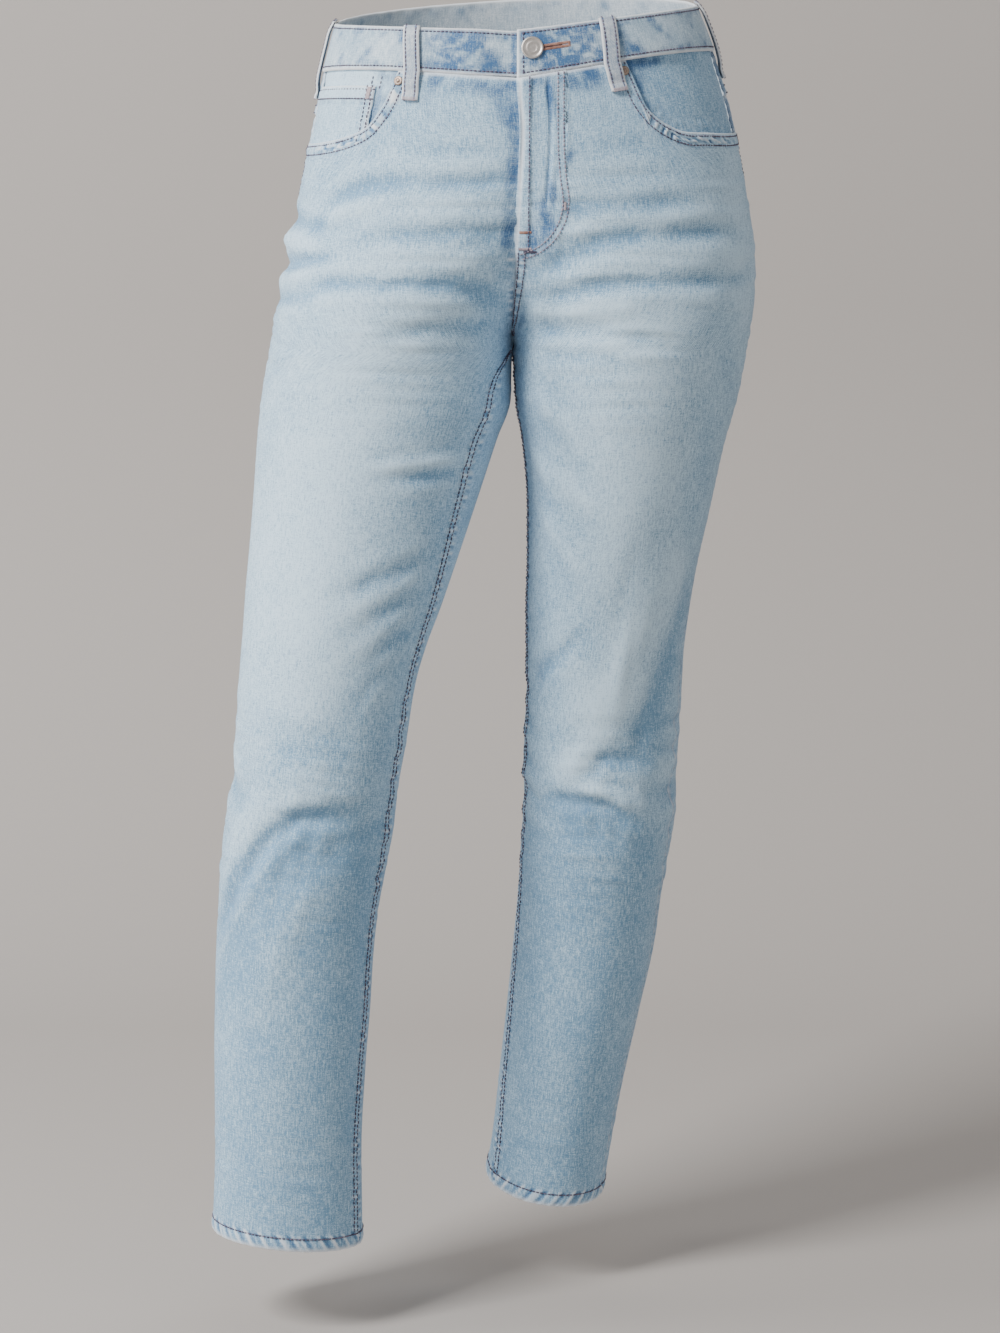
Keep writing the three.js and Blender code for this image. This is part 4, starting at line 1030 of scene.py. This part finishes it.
def back_pocket_spot(u, t):
    """Angle and height of a spot on a back pocket: u -1 to 1 across, t 0 to 1 down."""
    angle = -52 + u * (24 - 3.5 * t)
    top = -88 + 2.5 * u
    foot = -200 - 20 * (1 - np.abs(u))
    return angle, top + (foot - top) * t


def pocket_swell(u, t):
    """How far a back pocket stands off the seat, most in its middle and at the doubled hem."""
    middle = POCKET_PUFF * (1 - (2 * t - 0.7) ** 2).clip(0) * (1 - u ** 2)
    return 2.0 + middle + 0.5 * (1 - ease(15, 16.5, t * POCKET_DEPTH))


u = np.concatenate([[-1, -0.99, -0.975], np.linspace(-0.95, 0.95, 58), [0.975, 0.99, 1]])
t = np.concatenate([[0, 0.006, 0.015], np.linspace(0.03, 0.97, 56), [0.985, 0.994, 1]])
t_grid, u_grid = np.meshgrid(t, u, indexing="ij")
angle_grid, z_grid = back_pocket_spot(u_grid, t_grid)
top_mm = t_grid * POCKET_DEPTH
seam_mm = np.minimum((1 - np.abs(u_grid)) * POCKET_HALF, (1 - t_grid) * POCKET_DEPTH)
rim = np.minimum(seam_mm, top_mm)
ropes = np.exp(-seam_mm / 5) * wander((z_grid + angle_grid * 2) / 2, 71)
pocket_out = pocket_swell(u_grid, t_grid) - 1.0 * bell(rim, 0.9) + 0.25 * ropes
pocket_marks = {
    "worn": 0.5 + 0.2 * (1 - u_grid ** 2) * (1 - (2 * t_grid - 0.9) ** 2),
    "blue_and_shade": 0.5 * bell(top_mm - 18, 3),
    "rope": ropes,
    "edge": bell(rim, 1.5),
}
for word, side in (("right", -1), ("left", 1)):
    laid_patch(f"back_pocket_{word}", side, angle_grid, z_grid, pocket_out, 1.3, pocket_marks,
               [WASHED, INSIDE])

# Behind the fly: a zip of two cotton tapes with the closed chain between them, sewn to the lap, and a
# shield of doubled denim behind it, sewn to the right front's edge.
CHAIN_X = 9
ZIP_COLUMNS = [-5, -1, 3, 5.4, 6, 7.5, 9, 10.5, 12, 12.6, 15, 19, 23]
ZIP_TAPE = twill("zip_tape", pale=(150, 170, 190), mid=(128, 150, 172), blue_and_shade=(90, 110, 140),
                 fluff=(170, 180, 190), cloud=0.05, bump=0.6)


def behind_fly(name, node_name, x, z, out, thick, marks, material):
    """A strip behind the fly, laid out in mm from the rise seam; thick is its wall at each point."""
    angle = fly_angle(z, x)
    outer = cloth(1, angle, z, out)
    inner = outer - form_normal(1, angle, z) * thick[..., None]
    sew(name, outer, inner, np.stack([x, z], -1), marks, [material], node_name)


z_grid, x_grid = np.meshgrid(np.linspace(-22, -158, 90), ZIP_COLUMNS, indexing="ij")
teeth = np.where(np.abs(x_grid - CHAIN_X) < 3.2, 1.2 + 0.2 * np.sin(z_grid * 4), 0) * ease(-33, -35, z_grid)
behind_fly("zip_tape", "zip", x_grid, z_grid, -2.4, 1.0 + teeth, UNWASHED, ZIP_TAPE)
z_grid, x_grid = np.meshgrid(np.linspace(-12, -166, 60), np.linspace(-9, 33, 20), indexing="ij")
behind_fly("fly_shield_cloth", "fly_shield", x_grid, z_grid, -6.1, np.full(x_grid.shape, 1.6),
           {**UNWASHED, "worn": 0.45, "blue_and_shade": 0.1}, INSIDE)

# Metal: a shank button and the zip's slider in antique silver, and two rivets in old copper at the
# pocket mouths. All are pressed from plated brass, and wear has brushed them patchy.


def noise(tree, scale, detail):
    """Noise through the solid, in the object's own space."""
    spot = place_node(tree, "ShaderNodeTexCoord").outputs["Object"]
    field = place_node(tree, "ShaderNodeTexNoise", {"Vector": spot, "Scale": scale, "Detail": detail})
    return field.outputs[0]


def metal(name, worn, dull):
    """Plated brass, brushed by wear."""
    material, tree, shader = new_material(name)
    brushed = noise(tree, 1400.0, 3.0)
    fine = noise(tree, 4200.0, 2.0)
    tone = place_node(tree, "ShaderNodeMix", {0: brushed, 6: colour(*dull), 7: colour(*worn)},
                      data_type="RGBA")
    rough = place_node(tree, "ShaderNodeMapRange", {"Value": brushed, "To Min": 0.34, "To Max": 0.5})
    dent = place_node(tree, "ShaderNodeBump", {"Height": fine, "Strength": 0.12, "Distance": 0.0001})
    feed(tree, shader, {"Base Color": tone.outputs[2], "Roughness": rough.outputs[0],
                        "Normal": dent.outputs[0], "Metallic": 0.85})
    return material


METAL = metal("antique_silver", worn=(226, 220, 214), dull=(196, 186, 178))
OLD_COPPER = metal("old_copper", worn=(186, 166, 152), dull=(122, 102, 92))


def circle(radius, segments):
    """Points round a circle, or its centre alone where the radius is 0."""
    if radius == 0:
        return [(0, 0)]
    return [(radius * math.cos(a), radius * math.sin(a))
            for a in np.linspace(0, 2 * math.pi, segments, endpoint=False)]


def join_rings(name, rings):
    """Closed smooth mesh through rings of points; a ring of one point is a tip."""
    mesh = bpy.data.meshes.new(name)
    work = bmesh.new()
    rows = [[work.verts.new(point) for point in ring_points] for ring_points in rings]
    count = max(len(row) for row in rows)
    for first, second in zip(rows, rows[1:]):
        for i in range(count):
            j = (i + 1) % count
            corners = [first[i % len(first)], first[j % len(first)],
                       second[j % len(second)], second[i % len(second)]]
            work.faces.new(list(dict.fromkeys(corners)))
    bmesh.ops.recalc_face_normals(work, faces=work.faces)
    for face in work.faces:
        face.smooth = True
    work.to_mesh(mesh)
    work.free()
    return mesh


def turned(name, profile, place, segments, node_name, material):
    """Closed turned piece from a profile of (radius, height) in mm that starts and ends on its axis."""
    mesh = join_rings(name, [[place @ Vector((x, y, height)) * 0.001 for x, y in circle(radius, segments)]
                             for radius, height in profile])
    mesh.materials.append(material)
    put_in_place(name, mesh, node_name)


def upright_on(point, normal, shift=0.0):
    """Placement with Z along the normal and Y upwards, moved sideways by a shift in mm."""
    z_axis = Vector(normal)
    x_axis = Vector((0, 0, 1)).cross(z_axis).normalized()
    y_axis = z_axis.cross(x_axis)
    place = Matrix((x_axis, y_axis, z_axis)).transposed().to_4x4()
    place.translation = Vector(point) + x_axis * shift
    return place


BUTTON = [(0, -2.6), (2.7, -2.6), (3, -2.3), (3, 0.5), (7.4, 0.6), (8.2, 0.9), (8.5, 1.4), (8.45, 1.9),
          (8.1, 2.4), (7.6, 2.6), (7.1, 2.5), (6.7, 2.2), (6.2, 2.0), (5.2, 2.0), (4.4, 2.15), (3.9, 2.35),
          (3.5, 2.2), (2.6, 2.05), (1.4, 2.1), (0, 2.15)]
BUTTON_SHIFT = -7
RIVET = [(0, 0.3), (3.3, 0.3), (3.6, 0.5), (3.65, 0.8), (3.3, 1.15), (2.7, 1.3), (2.1, 1.2), (1.7, 1.25),
         (1.3, 1.6), (0.8, 1.8), (0, 1.85)]
RIVET_Z = -26.0
hole_angle = np.full(1, 90 - hole_turn)
hole_normal = form_normal(1, hole_angle, np.full(1, HOLE_Z))[0]
hole_point = form_point(1, hole_angle, np.full(1, HOLE_Z))[0] + hole_normal * 0.5
turned("button_metal", BUTTON, upright_on(hole_point, hole_normal, BUTTON_SHIFT), 56, "button", METAL)
for word, side, at in (("right", -1, 53.9), ("left", 1, 59.5)):
    at_angle = np.full(1, at)
    at_z = np.full(1, RIVET_Z)
    spot = cloth(side, at_angle, at_z, 0.1)[0]
    seat = upright_on(spot, form_normal(side, at_angle, at_z)[0])
    turned(f"rivet_{word}_metal", RIVET, seat, 32, f"rivet_{word}", OLD_COPPER)
for slot in bpy.data.objects["zip_slider"].material_slots:
    slot.material = METAL

# Sewing: lockstitch in grey mauve cotton thread, 3.2 mm to a stitch, with copper thread at the
# buttonhole and the fly. Each row is a line on the cloth, and one node tree lays a stitch at every step
# along it.


def thread_stitch():
    """One stitch 1 long and 1 thick along X, with ends that dive into the cloth."""
    profile = ((-0.5, 0, -0.9), (-0.42, 0.42, -0.3), (-0.15, 0.5, 0), (0.15, 0.5, 0), (0.42, 0.42, -0.3),
               (0.5, 0, -0.9))
    rings = [[(x, across, height + up) for across, up in circle(radius, 6)] for x, radius, height in profile]
    return bpy.data.objects.new("thread_stitch", join_rings("thread_stitch", rings))


def sewing_tree():
    """Lays a stitch at every step of the rows, along each row and upright on the cloth."""
    tree = bpy.data.node_groups.new("stitch_row", "GeometryNodeTree")
    new_sockets(tree, "INPUT", [("Geometry", "Geometry", None), ("Stitch", "Object", None),
                                ("Pitch", "Float", 0.0032), ("Length", "Float", 0.0026),
                                ("Thread", "Float", 0.0006), ("Turn", "Float", 0.0),
                                ("Uneven", "Float", 0.12), ("Seed", "Int", 4),
                                ("Material", "Material", None)])
    new_sockets(tree, "OUTPUT", [("Geometry", "Geometry", None)])
    given = place_node(tree, "NodeGroupInput").outputs
    lines = place_node(tree, "GeometryNodeMeshToCurve", {"Mesh": given["Geometry"]}).outputs[0]
    steps = place_node(tree, "GeometryNodeResampleCurve", {"Curve": lines, "Length": given["Pitch"]},
                       mode="LENGTH")
    outward = place_node(tree, "GeometryNodeInputNamedAttribute", {"Name": "outward"},
                         data_type="FLOAT_VECTOR").outputs[0]
    tangent = place_node(tree, "GeometryNodeInputTangent").outputs[0]
    along = place_node(tree, "FunctionNodeAlignRotationToVector", {"Vector": tangent}, axis="X").outputs[0]
    stand = place_node(tree, "FunctionNodeAlignRotationToVector", {"Rotation": along, "Vector": outward},
                       axis="Z", pivot_axis="X").outputs[0]
    turn = place_node(tree, "FunctionNodeAxisAngleToRotation", {"Axis": (0, 0, 1), "Angle": given["Turn"]})
    laid_by = place_node(tree, "FunctionNodeRotateRotation",
                         {"Rotation": stand, "Rotate By": turn.outputs[0]},
                         rotation_space="LOCAL").outputs[0]
    low = place_node(tree, "ShaderNodeMath", {0: 1.0, 1: given["Uneven"]}, operation="SUBTRACT").outputs[0]
    high = place_node(tree, "ShaderNodeMath", {0: 1.0, 1: given["Uneven"]}, operation="ADD").outputs[0]
    change = place_node(tree, "FunctionNodeRandomValue", {2: low, 3: high, "Seed": given["Seed"]},
                        data_type="FLOAT").outputs[1]
    size = place_node(tree, "ShaderNodeCombineXYZ",
                      {0: given["Length"], 1: given["Thread"], 2: given["Thread"]}).outputs[0]
    scale = place_node(tree, "ShaderNodeVectorMath", {0: size, "Scale": change}, operation="SCALE")
    shape = place_node(tree, "GeometryNodeObjectInfo", {"Object": given["Stitch"]}).outputs["Geometry"]
    laid = place_node(tree, "GeometryNodeInstanceOnPoints", {"Points": steps.outputs[0], "Instance": shape,
                                                             "Rotation": laid_by, "Scale": scale.outputs[0]})
    real = place_node(tree, "GeometryNodeRealizeInstances", {"Geometry": laid.outputs[0]}).outputs[0]
    done = place_node(tree, "GeometryNodeSetMaterial", {"Geometry": real, "Material": given["Material"]})
    place_node(tree, "NodeGroupOutput", {0: done.outputs[0]})
    return tree


def thread(name, light, dark):
    """Dyed thread, patchy where the wash has faded it."""
    material, tree, shader = new_material(name)
    patchy = noise(tree, 160.0, 3.0)
    ply = noise(tree, 3200.0, 2.0)
    fade = place_node(tree, "ShaderNodeMapRange", {"Value": patchy, "From Min": 0.35, "From Max": 0.65})
    tint = place_node(tree, "ShaderNodeMix", {0: fade.outputs[0], 6: colour(*dark), 7: colour(*light)},
                      data_type="RGBA")
    rough = place_node(tree, "ShaderNodeMapRange", {"Value": ply, "To Min": 0.6, "To Max": 0.85})
    twist = place_node(tree, "ShaderNodeBump", {"Height": ply, "Strength": 0.5, "Distance": 0.0002})
    feed(tree, shader, {"Base Color": tint.outputs[2], "Roughness": rough.outputs[0],
                        "Normal": twist.outputs[0]})
    return material


STITCH = thread_stitch()
SEWING = sewing_tree()
MAUVE = thread("mauve_thread", light=(116, 106, 124), dark=(70, 63, 86))
PALE_MAUVE = thread("faded_mauve_thread", light=(204, 190, 194), dark=(160, 142, 152))
FADED = thread("half_faded_thread", light=(176, 166, 178), dark=(120, 112, 132))
COPPER = thread("copper_thread", light=(196, 152, 136), dark=(146, 104, 90))
LOCKSTITCH = {"Pitch": 0.0032, "Length": 0.0028, "Thread": 0.0011, "Turn": 0.0, "Uneven": 0.12}
SATIN = {"Pitch": 0.00055, "Length": 0.0024, "Thread": 0.0006, "Turn": math.pi / 2, "Uneven": 0.1}


def sew_rows(name, rows, material, stitch):
    """Stitches along rows of (points, outward directions), as one plain mesh."""
    points = np.concatenate([row[0] for row in rows]) * 0.001
    outward = np.concatenate([row[1] for row in rows])
    edges = []
    start = 0
    for row in rows:
        edges += [(start + i, start + i + 1) for i in range(len(row[0]) - 1)]
        start += len(row[0])
    mesh = bpy.data.meshes.new(name + "_lines")
    mesh.from_pydata(points.tolist(), edges, [])
    field = mesh.attributes.new("outward", "FLOAT_VECTOR", "POINT")
    field.data.foreach_set("vector", outward.ravel())
    lines = bpy.data.objects.new(name + "_lines", mesh)
    bpy.context.scene.collection.objects.link(lines)
    needle = lines.modifiers.new("sewing", "NODES")
    needle.node_group = SEWING
    given = {"Stitch": STITCH, "Seed": 4, "Material": material, **stitch}
    for item in SEWING.interface.items_tree:
        if item.in_out == "INPUT" and item.name in given:
            needle[item.identifier] = given[item.name]
    graph = bpy.context.evaluated_depsgraph_get()
    done = bpy.data.meshes.new_from_object(lines.evaluated_get(graph), preserve_all_data_layers=True,
                                           depsgraph=graph)
    done.name = name
    bpy.data.objects.remove(lines)
    put_in_place(name, done)


def shift_line(side, angle, z, gap):
    """A line on the cloth moved sideways by gap mm: up, where it runs away from the outseam."""
    size = mm_per_degree(side, angle, z)
    du = np.gradient(angle) * size
    dv = np.gradient(z)
    length = np.hypot(du, dv)
    return angle - gap * dv / length / size, z + gap * du / length


def row_on(side, angle, z, out=0.3):
    """A row of stitches on the panels, from the angle and height of its points."""
    angle, z = np.broadcast_arrays(angle, np.asarray(z, float))
    return cloth(side, angle, z, out), form_normal(side, angle, z)


def smooth_line(spots, steps=80):
    """Points spread along a smooth curve through a few spots."""
    spots = np.asarray(spots, float)
    way = np.concatenate([[0], np.cumsum(np.linalg.norm(np.diff(spots * (2, 1), axis=0), axis=1))])
    at = np.linspace(0, way[-1], steps)
    ends = np.gradient(spots, way, axis=0)
    i = np.clip(np.searchsorted(way, at) - 1, 0, len(way) - 2)
    span = (way[i + 1] - way[i])[:, None]
    t = ((at - way[i]) / (way[i + 1] - way[i]))[:, None]
    line = (1 + 2 * t) * (1 - t) ** 2 * spots[i] + t * (1 - t) ** 2 * span * ends[i]
    line = line + t * t * (3 - 2 * t) * spots[i + 1] + t * t * (t - 1) * span * ends[i + 1]
    return line[:, 0], line[:, 1]


def row_by_seam(side, seam, gap, start, stop, out=0.3):
    """A row at a fixed gap from a panel's seam: front_out, front_in or back_in."""
    z = np.arange(start, stop, -2.0)
    row = ring(side, z)
    end = {"front_out": row["outseam"], "front_in": row["inseam"], "back_in": back_end(row)}[seam]
    turn = {"front_out": 1, "front_in": -1, "back_in": 1}[seam]
    angle = end
    for _ in range(3):
        angle = end + turn * gap / mm_per_degree(side, angle, z)
    return row_on(side, angle, z, out)


def band_row(turn, z, out=0.3):
    """A row of stitches on the waistband."""
    turn, z = np.broadcast_arrays(turn, np.asarray(z, float))
    return band_point(turn, z, out), band_normal(turn, z)


def fly_row(x, z, out=0.3):
    """A row of stitches on the fly, from mm beside the rise seam and height."""
    return row_on(1, fly_angle(z, x), z, out)


# Leg seams, rise, seat, hems and yokes: inseams, rise and yokes are felled, so each has two rows.
FELLED = (2.4, 8.2)
HEM_STITCH = 10.6
leg_rows = []
for side in (-1, 1):
    leg_foot = HEM[side] + 12
    leg_rows.append(row_by_seam(side, "front_in", 2.2, CROTCH - 3, leg_foot))
    leg_rows.append(row_by_seam(side, "front_in", 7.6, CROTCH - 6, leg_foot))
    leg_rows.append(row_by_seam(side, "front_out", 2.2, -86, -116))
    leg_rows.append(row_on(side, np.arange(-182, 182, 1.2), HEM[side] + HEM_STITCH, 0.55))
for gap in FELLED:
    leg_rows.append(row_by_seam(1, "front_in", gap, -160, CROTCH + 4, 0.35))
    leg_rows.append(row_by_seam(1, "back_in", gap, -86, CROTCH + 4))
sew_rows("leg_and_rise_stitches", leg_rows, MAUVE, LOCKSTITCH)
yoke_rows = []
for side in (-1, 1):
    angle = np.linspace(-1.5, 1.5 - waist_angle(side), 110)
    for gap in (2.6, 8.4):
        yoke_rows.append(row_on(side, angle, yoke_cut(side)(angle) + gap, 0.8))
for gap in FELLED:
    yoke_rows.append(row_by_seam(1, "back_in", gap, -21, -82, 0.35))
sew_rows("yoke_stitches", yoke_rows, MAUVE, LOCKSTITCH)

# Fly: one row beside the lap's edge, and the double row that swings round the foot of the shield.
FLY_SWING = [(29, -20), (29, -50), (29.5, -80), (31, -100), (33, -118), (31.5, -130), (27, -141), (20, -150),
             (12, -156), (2.5, -160)]
fly_rows = [fly_row(7.6, np.arange(-20, -158, -2.0), 1.3)]
swing_x, swing_z = smooth_line(FLY_SWING)
side_x = np.gradient(swing_z)
side_z = -np.gradient(swing_x)
length = np.hypot(side_x, side_z)
swing_rows = []
for gap in (0, 4.4):
    swing_rows.append(fly_row(swing_x - gap * side_x / length, swing_z - gap * side_z / length, 0.4))
sew_rows("fly_stitches", fly_rows, MAUVE, LOCKSTITCH)
sew_rows("fly_swing_stitches", swing_rows, FADED, LOCKSTITCH)

# Pocket mouths: a row beside the edge and another 6 mm below it; the coin pocket's hem and side.
pocket_rows = []
for side in (-1, 1):
    angle, z = smooth_line(list(zip(*MOUTH[side])))
    for gap in (-2.4, -8.8):
        moved_angle, moved_z = shift_line(side, angle, z, gap)
        keep = (moved_z < -19.5) & (moved_angle > -0.5)
        pocket_rows.append(row_on(side, moved_angle[keep], moved_z[keep]))


def coin_row(along, across, out=0.35):
    """A row on the coin pocket."""
    angle, z = coin_spot(along, across)
    return row_on(-1, angle, z, COIN_OUT + out)


full = np.linspace(0.01, 0.99, 60)
pocket_rows += [coin_row(2.6 / COIN_DEPTH, full), coin_row(9.6 / COIN_DEPTH, full, 0.85)]
pocket_rows += [coin_row(full, 1 - inset / COIN_WIDTH) for inset in (2.4, 7.4)]
for at in (42.6, 46.4):
    pocket_rows.append(row_on(-1, at, np.linspace(-20, -30.5, 8), FACING_OUT - 0.4))
sew_rows("front_pocket_stitches", pocket_rows, MAUVE, LOCKSTITCH)

# Waistband: a row 3 mm inside both edges and down the lapped end.
round_waist = np.arange(1.2, 374, 0.9)
band_rows = [band_row(round_waist, BAND_STITCH), band_row(round_waist, -BAND_STITCH)]
band_rows.append(band_row(1.1, np.arange(14.6, -15, -1.5)))
sew_rows("waistband_stitches", band_rows, MAUVE, LOCKSTITCH)

# Belt loops: two rows down each, and a faded bartack over each folded end.
TACK_Z = -34.0
loop_rows = []
loop_tacks = []
along = np.linspace(0.04, 0.93, 40)
across = np.linspace(-5, 5, 24)
for strap in LOOPS:
    side, top, bottom = strap[1:]
    outward = form_normal(side, top + (bottom - top) * along, LOOP_TOP - LOOP_DROP * along)
    for beside in (-4.1, 4.1):
        loop_rows.append((loop_point(strap, along, beside, 1.72), outward))
    outward = np.repeat(form_normal(side, np.full(1, bottom), np.full(1, TACK_Z)), len(across), 0)
    for at in (0.9, 0.945):
        loop_tacks.append((loop_point(strap, np.full(len(across), at), across, 2.3), outward))
sew_rows("belt_loop_stitches", loop_rows, MAUVE, LOCKSTITCH)
sew_rows("belt_loop_bartacks", loop_tacks, PALE_MAUVE, {**SATIN, "Pitch": 0.0008})

# Back pockets: a double row round the sides and foot, two across the hem, nothing else on them.
back_lines = []
for inset in FELLED:
    edge = 1 - inset / POCKET_HALF
    foot = 1 - inset / POCKET_DEPTH
    u = np.concatenate([np.full(40, -edge), np.linspace(-edge, edge, 60), np.full(40, edge)])
    t = np.concatenate([np.linspace(0.01, foot, 40), np.full(60, foot), np.linspace(foot, 0.01, 40)])
    back_lines.append((u, t))
for down in (2.6, 13.6):
    back_lines.append((np.linspace(-0.985, 0.985, 70), np.full(70, down / POCKET_DEPTH)))
back_rows = [row_on(side, *back_pocket_spot(u, t), pocket_swell(u, t) + 0.3)
             for side in (-1, 1) for u, t in back_lines]
sew_rows("back_pocket_stitches", back_rows, MAUVE, LOCKSTITCH)

# Bartacks and the buttonhole: close satin stitches, in copper at the fly and the buttonhole, in faded or
# plain seam thread elsewhere. Each bartack is laid along its centre line.
TACK_STEPS = np.linspace(-0.5, 0.5, 20)


def tack(side, angle, z, height, out):
    """A bartack that runs down the cloth."""
    return row_on(side, angle, z + TACK_STEPS * height, out)


def fly_tack(x, z, width, height=0):
    """A bartack on the fly, across it by a width or down it by a height."""
    return fly_row(x + TACK_STEPS * width, z + TACK_STEPS * height, 0.5)


copper_tacks = [fly_tack(5, -142.5, 8.5)]
faded_tacks = [fly_tack(34.5, -122, 0, 6), tack(-1, 43.4, -35.5, 8.5, -0.35),
               tack(-1, 42.6, -35.5, 8.5, -0.35), fly_tack(5, -156, 9)]
mauve_tacks = [fly_tack(9, -158.5, 9), tack(-1, 1.6, -79.5, 7, 0.5), tack(1, 1.6, -85, 7, 0.5),
               tack(-1, 55.6, -24, 6, 0.5)]
for side in (-1, 1):
    for u in (-0.975, 0.975):
        angle, z = back_pocket_spot(u, 0.04)
        mauve_tacks.append(tack(side, angle, z, 8, 2.8))
hole_end = hole_turn + 8.2
for beside in (-1.4, 1.4):
    copper_tacks.append(band_row(np.linspace(hole_turn - 3.2, hole_end, 60), HOLE_Z + beside, 0.35))
copper_tacks.append(band_row(hole_end + 0.3, np.linspace(HOLE_Z - 2, HOLE_Z + 2, 12), 0.35))
sew_rows("copper_bartacks", copper_tacks, COPPER, SATIN)
sew_rows("faded_bartacks", faded_tacks, PALE_MAUVE, SATIN)
sew_rows("seam_bartacks", mauve_tacks, MAUVE, {**SATIN, "Pitch": 0.0007})

# Floor and wall: one pale sheet of studio paper, curved where it turns up behind the garment. It is
# seen from its front alone, so that a camera behind the garment looks past it.
FLOOR = -1.02
WALL = 1.6
BEND = 0.7
sweep = [(-6.0, FLOOR)]
for a in np.linspace(0, math.pi / 2, 14):
    sweep.append((WALL - BEND + BEND * math.sin(a), FLOOR + BEND - BEND * math.cos(a)))
sweep.append((WALL, 4.5))
backdrop = bpy.data.meshes.new("studio_sweep")
corners = [(x, y, z) for y, z in sweep for x in (-7.0, 7.0)]
backdrop.from_pydata(corners, [], [(2 * i, 2 * i + 1, 2 * i + 3, 2 * i + 2) for i in range(len(sweep) - 1)])
for face in backdrop.polygons:
    face.use_smooth = True
studio = bpy.data.objects.new("studio_sweep", backdrop)
bpy.context.scene.collection.objects.link(studio)
PAPER, tree, paper = new_material("studio_paper")
tint = place_node(tree, "ShaderNodeMix", {0: noise(tree, 900.0, 2.0), 6: colour(181, 175, 170),
                                          7: colour(187, 181, 176)}, data_type="RGBA").outputs[2]
feed(tree, paper, {"Base Color": tint, "Roughness": 0.95, "Specular IOR Level": 0.1})
unseen = place_node(tree, "ShaderNodeBsdfTransparent").outputs[0]
behind = place_node(tree, "ShaderNodeNewGeometry").outputs["Backfacing"]
one_way = place_node(tree, "ShaderNodeMixShader", {0: behind, 1: paper.outputs[0], 2: unseen}).outputs[0]
feed(tree, tree.nodes["Material Output"], {"Surface": one_way})
backdrop.materials.append(PAPER)

# Light: a broad soft key from the left and above, with a weaker box low at the left; a weak fill from
# the right, a small box behind, and even air all round.


def softbox(name, place, aim, size, watts, tint):
    lamp = bpy.data.lights.new(name, "AREA")
    lamp.shape = "RECTANGLE"
    lamp.size, lamp.size_y = size
    lamp.energy = watts
    lamp.color = tint
    box = bpy.data.objects.new(name, lamp)
    box.location = place
    box.rotation_euler = (Vector(aim) - Vector(place)).to_track_quat("-Z", "Y").to_euler()
    bpy.context.scene.collection.objects.link(box)


softbox("key_softbox", (-2.1, -1.9, 2.0), (0, 0, 0.05), (1.0, 1.3), 172, (1.0, 0.995, 0.985))
softbox("side_softbox", (-2.6, -0.3, 0.1), (0, 0, -0.3), (0.8, 1.8), 40, (1.0, 1.0, 1.0))
softbox("fill_softbox", (2.4, -2.4, 0.4), (0, 0, -0.45), (1.6, 2.0), 9, (0.96, 0.98, 1.0))
softbox("rear_softbox", (1.6, 1.2, 1.6), (0, 0, -0.4), (1.2, 1.2), 8, (1.0, 1.0, 1.0))
world = bpy.data.worlds.new("studio_air")
bpy.context.scene.world = world
world.use_nodes = True
world.node_tree.nodes["Background"].inputs[0].default_value = (0.95, 0.97, 1.0, 1)
world.node_tree.nodes["Background"].inputs[1].default_value = 0.34
